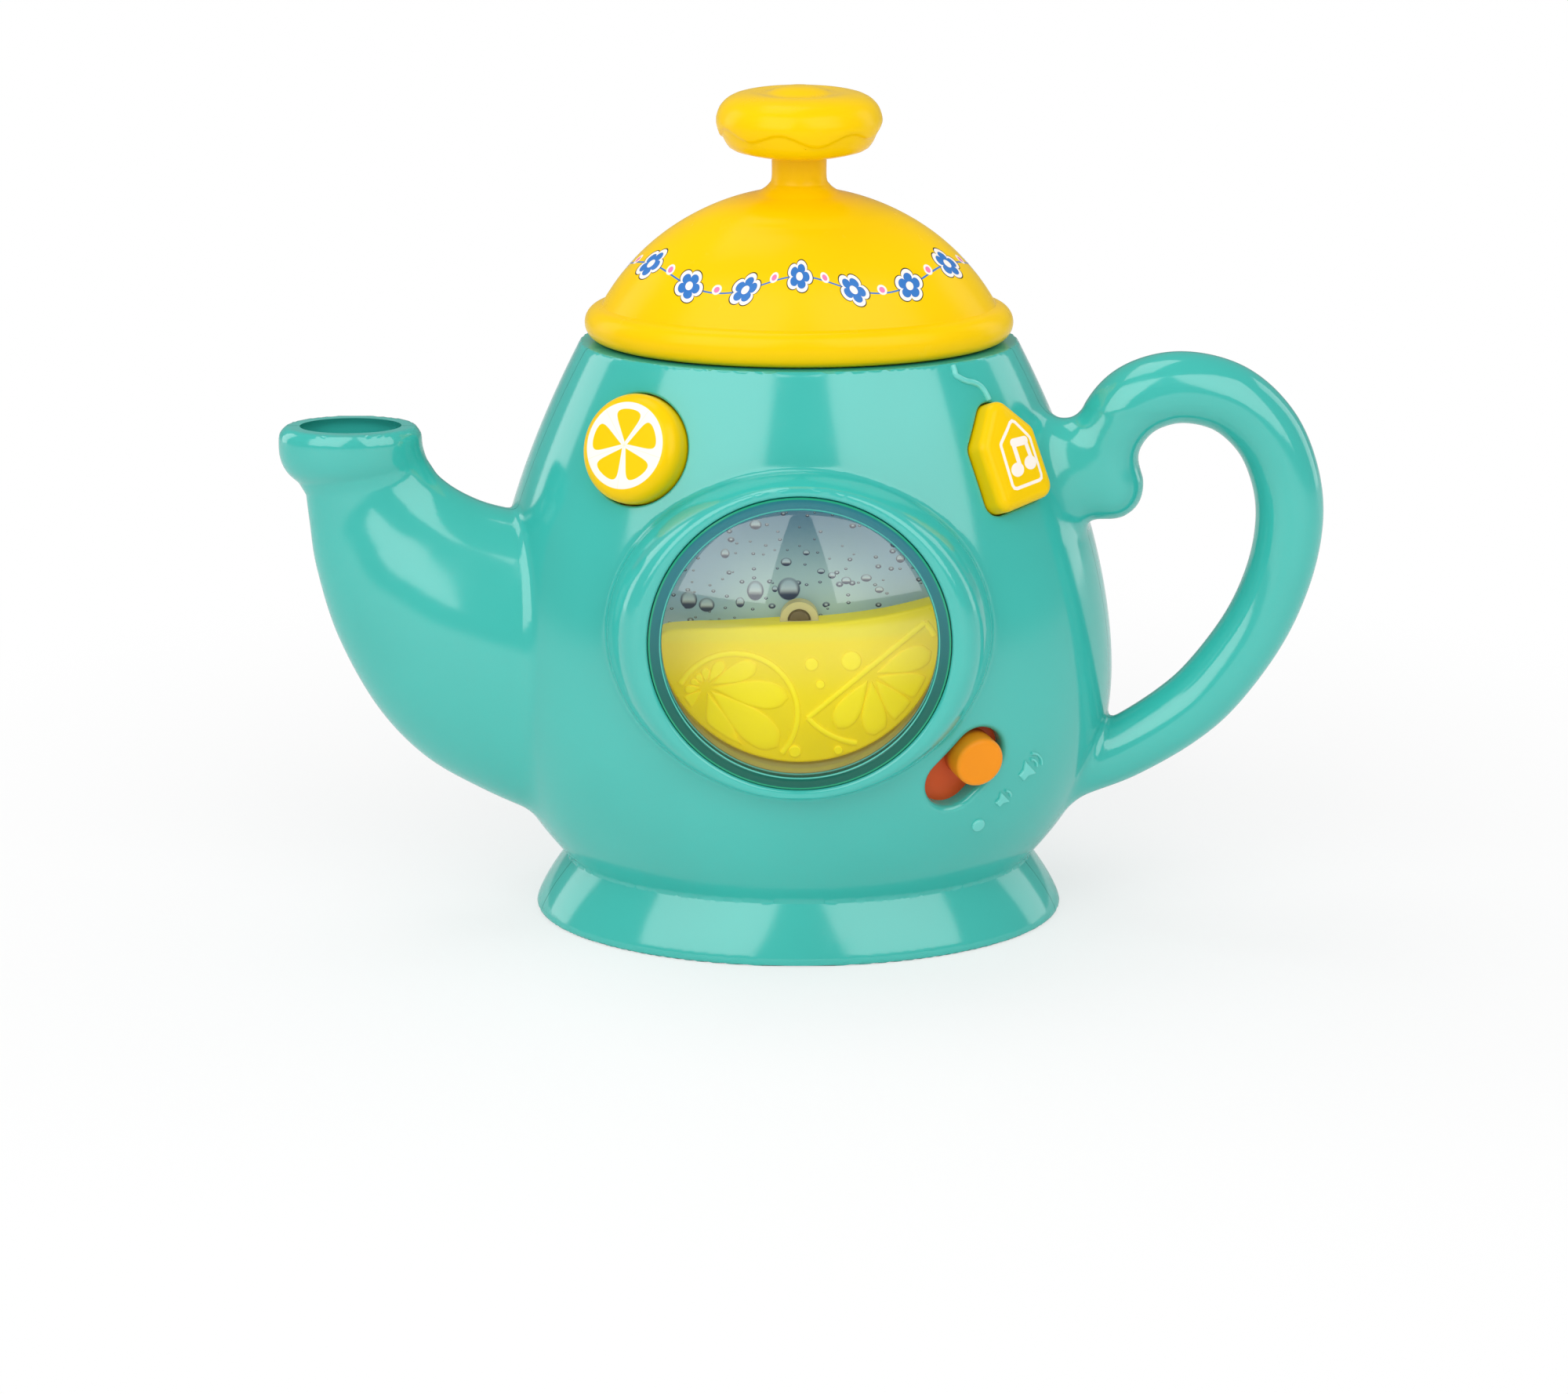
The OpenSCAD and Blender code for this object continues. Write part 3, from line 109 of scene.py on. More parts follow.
def linear(red, green, blue):
    def channel(v):
        v /= 255
        return v / 12.92 if v <= 0.04045 else ((v + 0.055) / 1.055) ** 2.4
    return (channel(red), channel(green), channel(blue), 1.0)


class Value:
    def __init__(self, paint, socket):
        self.paint = paint
        self.socket = socket

    def join(self, operation, other=None, flip=False):
        values = [v for v in ((other, self) if flip else (self, other)) if v is not None]
        return self.paint.node("ShaderNodeMath", {"operation": operation}, dict(enumerate(values)))

    def __neg__(self):
        return self.join("MULTIPLY", -1.0)

    def between(self, low, high):
        return self.paint.node("ShaderNodeMapRange", {"interpolation_type": "SMOOTHSTEP"},
                               {"Value": self, "From Min": low, "From Max": high})


def joiner(operation, flip=False):
    def method(value, other=None):
        return value.join(operation, other, flip)
    return method


mathNames = {
    "__add__": "ADD",
    "__radd__": "ADD",
    "__sub__": "SUBTRACT",
    "__mul__": "MULTIPLY",
    "__rmul__": "MULTIPLY",
    "__truediv__": "DIVIDE",
    "__pow__": "POWER",
    "__gt__": "GREATER_THAN",
    "least": "MINIMUM",
    "most": "MAXIMUM",
    "size": "ABSOLUTE",
    "root": "SQRT",
    "sine": "SINE",
    "cosine": "COSINE",
    "angleTo": "ARCTAN2",
    "floor": "FLOOR",
}
for methodName, mathName in mathNames.items():
    setattr(Value, methodName, joiner(mathName))
Value.__rsub__ = joiner("SUBTRACT", flip=True)


class Paint:
    def __init__(self, name):
        self.material = bpy.data.materials.new(name)
        self.material.use_nodes = True
        self.nodes = self.material.node_tree.nodes
        self.links = self.material.node_tree.links
        self.nodes.clear()
        self.out = self.nodes.new("ShaderNodeOutputMaterial")

    def node(self, kind, settings=None, inputs=None, output=0):
        made = self.nodes.new(kind)
        for key, value in (settings or {}).items():
            setattr(made, key, value)
        for key, value in (inputs or {}).items():
            if isinstance(value, Value):
                self.links.new(value.socket, made.inputs[key])
            else:
                made.inputs[key].default_value = value
        return Value(self, made.outputs[output])

    def place(self):
        return self.node("ShaderNodeTexCoord", output=3)

    def spot(self, here=None):
        # the object coordinates in mm, the height counted from the window's middle
        x, y, z = self.axes(here or self.place())
        return x * (1 / mm), y * (1 / mm), z * (1 / mm) - window["height"]

    def axes(self, vector):
        split = self.nodes.new("ShaderNodeSeparateXYZ")
        self.links.new(vector.socket, split.inputs[0])
        return [Value(self, split.outputs[i]) for i in range(3)]

    def along(self, vector, direction, start):
        # distance along a direction from a point, both in metres
        moved = self.node("ShaderNodeVectorMath", {"operation": "SUBTRACT"}, {0: vector, 1: start})
        return self.node("ShaderNodeVectorMath", {"operation": "DOT_PRODUCT"}, {0: moved, 1: direction}, 1)

    def flat(self, here, matrix):
        # the two coordinates in mm on a plane that the matrix places
        side, up = matrix.to_3x3().col[0], matrix.to_3x3().col[1]
        return [self.along(here, tuple(axis), tuple(matrix.translation)) * (1 / mm) for axis in (side, up)]

    def reach(self, x, y):
        return (x * x + y * y).root()

    def toSegment(self, x, y, first, last):
        # distance to a straight line between two flat points
        dx, dy = last[0] - first[0], last[1] - first[1]
        ax, ay = x - first[0], y - first[1]
        share = ((ax * dx + ay * dy) * (1 / (dx * dx + dy * dy))).most(0.0).least(1.0)
        return self.reach(ax - share * dx, ay - share * dy)

    def fill(self, distance, soft=0.05):
        # 1 inside an outline and 0 outside
        return 1 - distance.between(-soft, soft)

    def noise(self, scale, detail=3.0, vector=None, roughness=0.5):
        return self.node("ShaderNodeTexNoise", {}, {"Vector": vector or self.place(), "Scale": scale,
                                                    "Detail": detail, "Roughness": roughness})

    def mix(self, share, first, second):
        return self.node("ShaderNodeMix", {"data_type": "RGBA"}, {0: share, 6: first, 7: second}, 2)

    def blend(self, share, first, second):
        return self.node("ShaderNodeMixShader", {}, {0: share, 1: first, 2: second})

    def bump(self, height, distance, strength=1.0, under=None):
        inputs = {"Height": height, "Distance": distance, "Strength": strength}
        if under is not None:
            inputs["Normal"] = under
        return self.node("ShaderNodeBump", {}, inputs)

    def surface(self, **inputs):
        return self.node("ShaderNodeBsdfPrincipled", {}, {k.replace("_", " "): v for k, v in inputs.items()})

    def finish(self, shader):
        self.links.new(shader.socket, self.out.inputs["Surface"])
        return self.material


def dressFloor():
    paint = Paint("paleFloor")
    here = paint.place()
    x, y, _ = paint.axes(here)
    reach = paint.reach(x, y).between(view["fadeStart"], view["fadeEnd"])
    pale, dull = view["floorTone"], view["floorTone"] - view["floorPatch"]
    grain = paint.noise(420.0, 3.0, here)
    colour = paint.mix(paint.noise(9.0, 2.0, here), (pale, pale, pale, 1), (dull, dull, dull, 1))
    ground = paint.surface(Base_Color=colour, Roughness=grain * 0.1 + 0.55,
                           Normal=paint.bump(grain, 0.00002, 0.2))
    seen = paint.node("ShaderNodeLightPath", output="Is Camera Ray")
    glow = paint.node("ShaderNodeEmission", {}, {"Color": (1, 1, 1, 1), "Strength": 1.0})
    share = (reach * (1 - view["glowShare"]) + view["glowShare"]) * seen
    return paint.finish(paint.blend(share, ground, glow))


def dressWorld():
    world = bpy.data.worlds.new("studio")
    bpy.context.scene.world = world
    world.use_nodes = True
    nodes, links = world.node_tree.nodes, world.node_tree.links
    back = nodes["Background"]
    back.inputs["Color"].default_value = (1, 1, 1, 1)
    light = nodes.new("ShaderNodeLightPath")
    strength = view["worldLevel"]
    for kind, wanted in (("Is Glossy Ray", view["glossLevel"]), ("Is Camera Ray", 1.0)):
        level = nodes.new("ShaderNodeMix")
        links.new(light.outputs[kind], level.inputs[0])
        if isinstance(strength, float):
            level.inputs[2].default_value = strength
        else:
            links.new(strength, level.inputs[2])
        level.inputs[3].default_value = wanted
        strength = level.outputs[0]
    links.new(strength, back.inputs["Strength"])


def newFloor():
    mesh = bmesh.new()
    bmesh.ops.create_grid(mesh, x_segments=4, y_segments=4, size=view["floorSize"] / 2)
    floor = newPiece("floor", mesh)
    floor.data.materials.append(dressFloor())


# mesh kit: lengths in mm

def newPiece(name, mesh, smooth=35):
    data = bpy.data.meshes.new(name)
    mesh.to_mesh(data)
    mesh.free()
    piece = bpy.data.objects.new(name, data)
    bpy.context.scene.collection.objects.link(piece)
    shade(piece, smooth)
    return piece


def shade(piece, degrees=35):
    piece.data.shade_smooth()
    piece.data.set_sharp_from_angle(angle=math.radians(degrees))


def warpedGrid(across, along, place, capped=True):
    # a grid that place bends: u runs round and v along, both from 0 to 1
    mesh = bmesh.new()
    bmesh.ops.create_grid(mesh, x_segments=across, y_segments=along, size=1)
    flat = np.array([vert.co for vert in mesh.verts])
    bent = place((flat[:, 0] + 1) / 2, (flat[:, 1] + 1) / 2) * mm
    for vert, point in zip(mesh.verts, bent):
        vert.co = point
    bmesh.ops.remove_doubles(mesh, verts=mesh.verts, dist=2e-7)
    rims = [edge for edge in mesh.edges if edge.is_boundary]
    if capped and rims:
        bmesh.ops.holes_fill(mesh, edges=rims, sides=0)
    bmesh.ops.recalc_face_normals(mesh, faces=mesh.faces)
    return mesh


def pick(rows, share):
    # rows at shares of their run, from 0 to 1
    rows = np.asarray(rows, float)
    spot = np.clip(share, 0, 1) * (len(rows) - 1)
    low = np.clip(spot.astype(int), 0, len(rows) - 2)
    part = (spot - low)[:, None]
    return rows[low] * (1 - part) + rows[low + 1] * part


def smoothRows(rows, steps):
    # a smooth curve through rows, with steps between each two
    rows = np.asarray(rows, float)
    made = []
    for i in range(len(rows) - 1):
        a, b, c, d = rows[max(i - 1, 0)], rows[i], rows[i + 1], rows[min(i + 2, len(rows) - 1)]
        for step in range(steps):
            t = step / steps
            made.append((2 * b + (c - a) * t + (2 * a - 5 * b + 4 * c - d) * t ** 2
                         + (3 * b - a - 3 * c + d) * t ** 3) / 2)
    made.append(rows[-1])
    return np.array(made)


def roundPoints(wide, deep, z, u):
    # points on ovals round Z, with u from 0 to 1
    return np.stack([wide * np.cos(2 * np.pi * u), deep * np.sin(2 * np.pi * u), z], 1)


def latheMesh(outline, segments=128, closed=False):
    # outline rows are radius and height along Z
    rows = list(outline) + ([outline[0]] if closed else [])

    def place(u, v):
        radius, z = pick(rows, v).T
        return roundPoints(radius, radius, z, u)
    return warpedGrid(segments, len(rows) - 1, place, capped=not closed)


def tubeMesh(middles, sides, ups, across):
    # an oval section at each middle, spanned by two half axes
    rows = np.hstack([middles, sides, ups])

    def place(u, v):
        row = pick(rows, v)
        turn = (2 * np.pi * u)[:, None]
        return row[:, :3] + row[:, 3:6] * np.cos(turn) + row[:, 6:] * np.sin(turn)
    return warpedGrid(across, len(rows) - 1, place)


def ringsMesh(rings, capped=True):
    # rings of points in mm, each with the same count
    count = len(rings[0])

    def place(u, v):
        return rings[np.round(v * (len(rings) - 1)).astype(int), np.round(u * count).astype(int) % count]
    return warpedGrid(count, len(rings) - 1, place, capped)


def arcRows(x, y, radius, start, end, step):
    # points of an arc round x, y between two angles in degrees
    return [(x + radius * math.cos(math.radians(a)), y + radius * math.sin(math.radians(a)))
            for a in range(start, end, step)]


def moved(mesh, matrix):
    bmesh.ops.transform(mesh, matrix=matrix, verts=mesh.verts)
    if matrix.determinant() < 0:
        bmesh.ops.reverse_faces(mesh, faces=mesh.faces)
    return mesh


def meshOf(piece):
    # takes a piece's mesh for more work and removes the piece
    mesh = bmesh.new()
    mesh.from_mesh(piece.data)
    bpy.data.objects.remove(piece)
    return mesh


def copyOf(piece):
    made = piece.copy()
    made.data = piece.data.copy()
    bpy.context.scene.collection.objects.link(made)
    return made


def finalMesh(piece):
    return bpy.data.meshes.new_from_object(piece.evaluated_get(bpy.context.evaluated_depsgraph_get()))


def joined(meshes):
    whole = bmesh.new()
    for mesh in meshes:
        data = bpy.data.meshes.new("part")
        mesh.to_mesh(data)
        mesh.free()
        whole.from_mesh(data)
        bpy.data.meshes.remove(data)
    return whole


def combine(piece, mesh, operation="DIFFERENCE"):
    tool = newPiece("tool", mesh)
    change = piece.modifiers.new("combine", "BOOLEAN")
    change.operation = operation
    change.object = tool
    change.solver = "MANIFOLD"
    data = finalMesh(piece)
    if len(data.polygons) in (0, len(piece.data.polygons)):
        print("   combine fell back to the exact solver")
        change.solver = "EXACT"
        data = finalMesh(piece)
    piece.modifiers.clear()
    old, toolData = piece.data, tool.data
    piece.data = data
    bpy.data.meshes.remove(old)
    bpy.data.objects.remove(tool)
    bpy.data.meshes.remove(toolData)


def withoutSlivers(piece, least=0.01):
    # folds up the slivers that cuts leave where faces nearly meet
    mesh = meshOf(piece)
    bmesh.ops.triangulate(mesh, faces=mesh.faces)
    bmesh.ops.remove_doubles(mesh, verts=mesh.verts, dist=least * mm)
    bmesh.ops.dissolve_degenerate(mesh, dist=least * mm, edges=mesh.edges)
    return mesh


def cylinder(radius, low, high, segments=64):
    mesh = bmesh.new()
    bmesh.ops.create_cone(mesh, cap_ends=True, segments=segments, radius1=radius * mm, radius2=radius * mm,
                          depth=(high - low) * mm, matrix=Matrix.Translation((0, 0, (low + high) / 2 * mm)))
    return mesh


def prism(outline, low, high):
    # a closed outline of flat points in mm, drawn up from low to high
    mesh = bmesh.new()
    base = mesh.faces.new([mesh.verts.new((p[0] * mm, p[1] * mm, low * mm)) for p in outline])
    top = bmesh.ops.extrude_face_region(mesh, geom=[base])
    bmesh.ops.translate(mesh, verts=[v for v in top["geom"] if isinstance(v, bmesh.types.BMVert)],
                        vec=(0, 0, (high - low) * mm))
    bmesh.ops.recalc_face_normals(mesh, faces=mesh.faces)
    return mesh


def ovalOutline(wide, deep, segments=96):
    turns = [2 * math.pi * i / segments for i in range(segments)]
    return [(wide * math.cos(t), deep * math.sin(t)) for t in turns]


def discOutline(radius, segments=96):
    return ovalOutline(radius, radius, segments)


def stadiumOutline(half, radius, steps):
    # two half circles whose middles lie half to either side
    turns = np.linspace(-math.pi / 2, math.pi / 2, steps)
    right = [(half + radius * math.cos(t), radius * math.sin(t)) for t in turns]
    return right + [(-x, -y) for x, y in right]


def resampled(outline, count):
    # evenly spaced points round a closed outline
    points = np.array(list(outline) + [outline[0]])
    run = np.concatenate([[0], np.cumsum(np.linalg.norm(np.diff(points, axis=0), axis=1))])
    at = np.linspace(0, run[-1], count, endpoint=False)
    return np.column_stack([np.interp(at, run, points[:, 0]), np.interp(at, run, points[:, 1])])


def runOf(path):
    # the unit direction along each point of a path
    run = np.gradient(path, axis=0)
    return run / np.linalg.norm(run, axis=1)[:, None]


def ridgeMesh(path, radius, high, level, across=12):
    # a flattened round ridge along flat points, lying on a level plane
    path = np.array(path, float)
    run = runOf(path)
    nought = np.zeros(len(path))
    return tubeMesh(np.column_stack([path, nought + level]),
                    np.column_stack([-run[:, 1], run[:, 0], nought]) * radius,
                    np.column_stack([nought, nought, nought + high]), across)


def pillow(outline, level, rise, count=48, rounding=0.3):
    # a low rounded pad over a star-shaped outline
    ring = resampled(outline, count)
    middle = ring.mean(0)
    rows = [(1.0, -0.6), (1.0, 0.0)]
    rows += [(1 - rounding * (1 - c), rise * s) for c, s in arcRows(0, 0, 1, 15, 91, 15)]
    rows += [(share, rise) for share in (0.45, 0.2, 0.0)]
    rings = [np.column_stack([middle + (ring - middle) * share, np.full(count, level + up)])
             for share, up in rows]
    return ringsMesh(np.array(rings))


# the body's form, which everything on it follows

body = {
    "bellyWidth": 150.0,
    "depthShare": 0.72,
    "bellyHeight": 60.0,
    "footCurve": 1.4,
    "lowerCurve": 2.2,
    "upperCurve": 1.75,
    "rimHeight": 139.5,
    "rimWidth": 102.4,
    "waistWidth": 112.0,
    "footWidth": 128.0,
    "footHeight": 14.3,
    "footRounding": 1.8,
    "wall": 2.2,
    "seamY": -10.0,
    "seamGap": 0.12,
}


def mixed(a, b, t):
    return a + (b - a) * t


def halfWidth(z):
    z = np.clip(z, 0, body["rimHeight"])
    foot, belly, rim = body["footHeight"], body["bellyHeight"], body["rimHeight"]
    flared = mixed(body["footWidth"], body["waistWidth"], (np.minimum(z, foot) / foot) ** body["footCurve"])
    under = np.clip(belly - z, 0, None) / (belly - foot)
    above = np.clip(z - belly, 0, None) / (rim - belly)
    lower = mixed(body["bellyWidth"], body["waistWidth"], under ** body["lowerCurve"])
    upper = mixed(body["bellyWidth"], body["rimWidth"], above ** body["upperCurve"])
    edge = np.clip(1 - z / body["footRounding"], 0, 1)
    rounded = body["footRounding"] * (1 - np.sqrt(1 - edge ** 2))
    return np.where(z < foot, flared, np.where(z < belly, lower, upper)) / 2 - rounded


def halfDepth(z):
    return halfWidth(z) * body["depthShare"]


def bodyField(points):
    # distance to the body's wall and its direction, below 0 inside
    x, y, z = points.T
    wide, step = halfWidth(z), 0.05
    deep, slope = wide * body["depthShare"], (halfWidth(z + step) - halfWidth(z - step)) / (2 * step)
    reach = np.maximum(np.hypot(x / wide, y / deep), 1e-6)
    slant = np.stack([x / wide ** 2 / reach, y / deep ** 2 / reach, -reach * slope / wide], 1)
    size = np.linalg.norm(slant, axis=1)
    field, away = (reach - 1) / size, slant / size[:, None]
    for cap, direction in ((z - body["rimHeight"], (0, 0, 1)), (-z, (0, 0, -1))):
        outer = cap > field
        field = np.where(outer, cap, field)
        away = np.where(outer[:, None], np.array(direction, float), away)
    return field, away


def frontAt(x, z):
    # the matrix that stands a piece on the front surface: +Z outwards, +Y up the wall
    wide = float(halfWidth(z))
    y = -wide * body["depthShare"] * math.sqrt(1 - (x / wide) ** 2)
    out = Vector(bodyField(np.array([[x, y, z]]))[1][0])
    side = Vector((-out.y, out.x, 0)).normalized()
    up = out.cross(side)
    turn = Matrix((side, up, out)).transposed().to_4x4()
    return Matrix.Translation(Vector((x, y, z)) * mm) @ turn


def ontoBody(points, direction):
    # slides points along a direction until they lie on the body's wall
    points = np.array(points, float)
    for _ in range(12):
        field, away = bodyField(points)
        points -= direction * (field / np.maximum(away @ direction, 0.2))[:, None]
    return points


# the shells: body, spout, handle and window frame fused with small fillets

spout = {
    "reach": 121.2,
    "height": 120.8,
    "rootDepth": 38.0,
    "wall": 3.19,
    # outer x and z and inner x and z as shares of reach and height, then the depth's share
    "lip": [[0.986, 1.003, 0.738, 1.003, 0.59], [1, 0.985, 0.727, 0.987, 0.64],
            [1, 0.945, 0.725, 0.966, 0.64], [0.988, 0.915, 0.722, 0.951, 0.6],
            [0.966, 0.893, 0.717, 0.936, 0.52]],
    "neck": [[0.952, 0.868, 0.708, 0.921, 0.49], [0.947, 0.812, 0.692, 0.899, 0.52],
             [0.936, 0.72, 0.656, 0.872, 0.62], [0.899, 0.585, 0.605, 0.848, 0.78],
             [0.827, 0.443, 0.54, 0.832, 0.92], [0.735, 0.34, 0.47, 0.817, 1],
             [0.62, 0.27, 0.4, 0.8, 1.04], [0.5, 0.215, 0.34, 0.78, 1.06]],
    "fillet": 1.9,
}


def spoutRings(steps):
    lip = smoothRows(spout["lip"], steps)
    rows = np.vstack([lip, smoothRows(spout["neck"], steps)])
    reach, height = spout["reach"], spout["height"]
    return rows * np.array([-reach, height, -reach, height, spout["rootDepth"] / 2])


def spoutMesh(inset=0.0, across=144, steps=10, lift=0.0):
    rings = spoutRings(steps)
    low, high, deep = rings[:, :2].copy(), rings[:, 2:4].copy(), rings[:, 4] - inset
    aim = (high - low) / np.linalg.norm(high - low, axis=1)[:, None] * inset
    low, high = low + aim, high - aim
    if lift:
        low, high = np.vstack([low[:1] + [0, lift], low]), np.vstack([high[:1] + [0, lift], high])
        deep = np.append(deep[0], deep)
    middle, half, nought = (low + high) / 2, (high - low) / 2, np.zeros(len(deep))
    return tubeMesh(np.column_stack([middle[:, 0], nought + body["seamY"], middle[:, 1]]),
                    np.column_stack([half[:, 0], nought, half[:, 1]]),
                    np.column_stack([nought, deep, nought]), across)


handle = {
    "reach": 122.9,
    "height": 138.6,
    "thickness": 16.4,
    # x and z as shares of reach and height, then the thickness's share
    "line": [[0.455, 0.248, 0.98], [0.545, 0.279, 0.93], [0.63, 0.309, 0.92], [0.729, 0.364, 0.95],
             [0.801, 0.424, 0.96], [0.876, 0.521, 0.95], [0.92, 0.618, 0.95], [0.936, 0.71, 0.965],
             [0.924, 0.79, 0.97], [0.884, 0.866, 0.98], [0.812, 0.922, 1], [0.718, 0.94, 1.02],
             [0.636, 0.917, 1.04], [0.589, 0.862, 1], [0.586, 0.806, 0.88], [0.605, 0.763, 0.8]],
    # x, lower z, upper z and thickness as shares
    "root": [[0.42, 0.705, 0.89, 1], [0.53, 0.715, 0.882, 1], [0.57, 0.717, 0.868, 0.86],
             [0.605, 0.717, 0.83, 0.86]],
    "fillet": 2.6,
    "tipFillet": 3.6,
    "rootFillet": 4.2,
    # box in x and z within which the curl is evened out
    "curlBox": [[61, 85], [95, 126]],
    "curlRounds": 30,
    "screwStep": 14,  # the screw's place along the handle
}


def handleLine(steps=14):
    sizes = np.array([handle["reach"], handle["height"], handle["thickness"] / 2])
    return smoothRows(handle["line"], steps) * sizes


def handleMesh(across=72):
    line = handleLine()
    run, radius, nought = runOf(line[:, :2]), line[:, 2:], np.zeros((len(line), 1))
    return tubeMesh(np.hstack([line[:, :1], nought + body["seamY"], line[:, 1:2]]),
                    np.hstack([-run[:, 1:], nought, run[:, :1]]) * radius,
                    np.hstack([nought, radius, nought]), across)


def handleTipMesh():
    tip = handleLine()[-1]
    mesh = bmesh.new()
    bmesh.ops.create_uvsphere(mesh, u_segments=64, v_segments=40, radius=tip[2] * mm)
    return moved(mesh, Matrix.Translation((tip[0] * mm, body["seamY"] * mm, tip[1] * mm)))


def handleRootMesh(across=72, steps=10):
    x, low, high, share = smoothRows(handle["root"], steps).T
    low, high, nought = low * handle["height"], high * handle["height"], np.zeros(len(x))
    return tubeMesh(np.column_stack([x * handle["reach"], nought + body["seamY"], (low + high) / 2]),
                    np.column_stack([nought, nought, (high - low) / 2]),
                    np.column_stack([nought, share * handle["thickness"] / 2, nought]), across)


window = {
    "height": 81.7,
    "bore": 34.2,
    "frontY": -58.6,
    "edgeRounding": 0.9,
    "flareWide": 44.1,
    "flareTall": 38.0,
    "flareDrop": 1.7,
    "flareDepth": 18.64,
    "fillet": 1.3,
    "lipWidth": 2.2,
    "boreDepth": 14.0,
}


def atWindow(y=0):
    # the window's axis: +Z of the piece points to the front
    return Matrix.Translation((0, y * mm, window["height"] * mm)) @ Matrix.Rotation(math.radians(90), 4, "X")


def flareMesh(across=256, along=28):
    inner, front = window["bore"] + 1.6, window["frontY"]

    def place(u, v):
        turn, bend = 2 * np.pi * u, np.clip((v - 0.08) / 0.84, 0, 1) * np.pi / 2
        wide = mixed(inner, window["flareWide"], np.sin(bend))
        tall = mixed(inner, window["flareTall"], np.sin(bend))
        depth = (1 - np.cos(bend)) * window["flareDepth"]
        shrink = np.where(v < 0.04, 0.0, 1.0)
        back = np.where(v > 0.96, 4.0, 0.0)
        drop = -window["flareDrop"] * depth / window["flareDepth"]
        return np.stack([wide * shrink * np.cos(turn), front + depth + back,
                         window["height"] + drop + tall * shrink * np.sin(turn)], 1)
    return warpedGrid(across, along, place)


def bodyNet(across=200, rings=120, fineRings=6):
    # the body's wall with close rings at the foot's rounded edge
    levels = np.concatenate([np.linspace(0, 1.2, fineRings),
                             np.linspace(1.6, body["rimHeight"], rings - fineRings)])

    def place(u, v):
        z = levels[np.round(v * (rings - 1)).astype(int)]
        return roundPoints(halfWidth(z), halfDepth(z), z, u)
    return warpedGrid(across, rings - 1, place)


def blendField(points, field, away, solid, voxel):
    # lowers the field where a solid adds to it, with a fillet between the two
    tree, low, high, fillet = solid
    near = np.nonzero(((points > low) & (points < high)).all(1))[0]
    other, push = np.zeros(len(near)), np.zeros((len(near), 3))
    for i, k in enumerate(near):
        spot, normal, _, _ = tree.find_nearest(points[k] * mm)
        gap = np.array(points[k]) - np.array(spot) / mm
        far = np.linalg.norm(gap)
        side = 1 if gap @ np.array(normal) >= 0 or far > voxel * 1.9 else -1
        other[i] = side * far
        push[i] = gap / far * side if far > 1e-4 else np.array(normal)
    first, firstAway = field[near], away[near]
    pull = np.clip(fillet - np.abs(first - other), 0, None) / fillet
    share = np.where(first < other, pull / 2, 1 - pull / 2)
    field[near] = np.minimum(first, other) - pull ** 2 * fillet / 4
    away[near] = firstAway * (1 - share)[:, None] + push * share[:, None]


def evenCurl(data, voxel):
    # smooths the curl, where three solids meet
    mesh = bmesh.new()
    mesh.from_mesh(data)
    (left, right), (low, high) = handle["curlBox"]
    curl = [v for v in mesh.verts if left < v.co.x / mm < right and low < v.co.z / mm < high
            and abs(v.co.y / mm - body["seamY"]) < handle["thickness"] * 0.8]
    for _ in range(round(handle["curlRounds"] * (0.9 / voxel) ** 2)):
        bmesh.ops.smooth_vert(mesh, verts=curl, factor=0.5, use_axis_x=True, use_axis_y=True, use_axis_z=True)
    mesh.to_mesh(data)
    mesh.free()


def fusedSkin(solids, voxel, margin=6.0, rounds=3, stride=0.8):
    # solids: (mesh, fillet). A remesh gives the net, and each point then slides onto the blended surface
    fields = []
    for mesh, fillet in solids:
        points = np.array([v.co for v in mesh.verts]) / mm
        fields.append((BVHTree.FromBMesh(mesh), points.min(0) - margin, points.max(0) + margin, fillet))
    rough = newPiece("roughSkin", joined([bodyNet()] + [mesh for mesh, _ in solids]))
    net = rough.modifiers.new("net", "REMESH")
    net.mode = "VOXEL"
    net.voxel_size = voxel * mm
    data = finalMesh(rough)
    bpy.data.objects.remove(rough)
    points = np.empty(len(data.vertices) * 3)
    data.vertices.foreach_get("co", points)
    points = points.reshape(-1, 3) / mm
    for _ in range(rounds):
        field, away = bodyField(points)
        for solid in fields:
            blendField(points, field, away, solid, voxel)
        size = np.maximum((away ** 2).sum(1), 0.2)
        points -= away * np.clip(field / size, -stride, stride)[:, None]
    points[:, 0] = np.clip(points[:, 0], -spout["reach"], handle["reach"] + 0.04)
    data.vertices.foreach_set("co", (points * mm).ravel())
    data.update()
    evenCurl(data, voxel)
    skin = bpy.data.objects.new("skin", data)
    bpy.context.scene.collection.objects.link(skin)
    return skin


def insideMesh(inset, low, high, across=160, rings=60):
    def place(u, v):
        z = mixed(low, high, v)
        return roundPoints(halfWidth(z) - inset, halfDepth(z) - inset, z, u)
    return warpedGrid(across, rings, place)


def halfBox(side):
    mesh = bmesh.new()
    bmesh.ops.create_cube(mesh, size=1)
    size = 400 * mm
    near = (body["seamY"] + side * body["seamGap"] / 2) * mm
    return moved(mesh, Matrix.Translation((0, near + side * size / 2, 70 * mm)) @ Matrix.Scale(size, 4))


# buttons and slot: places and outlines on the body's front

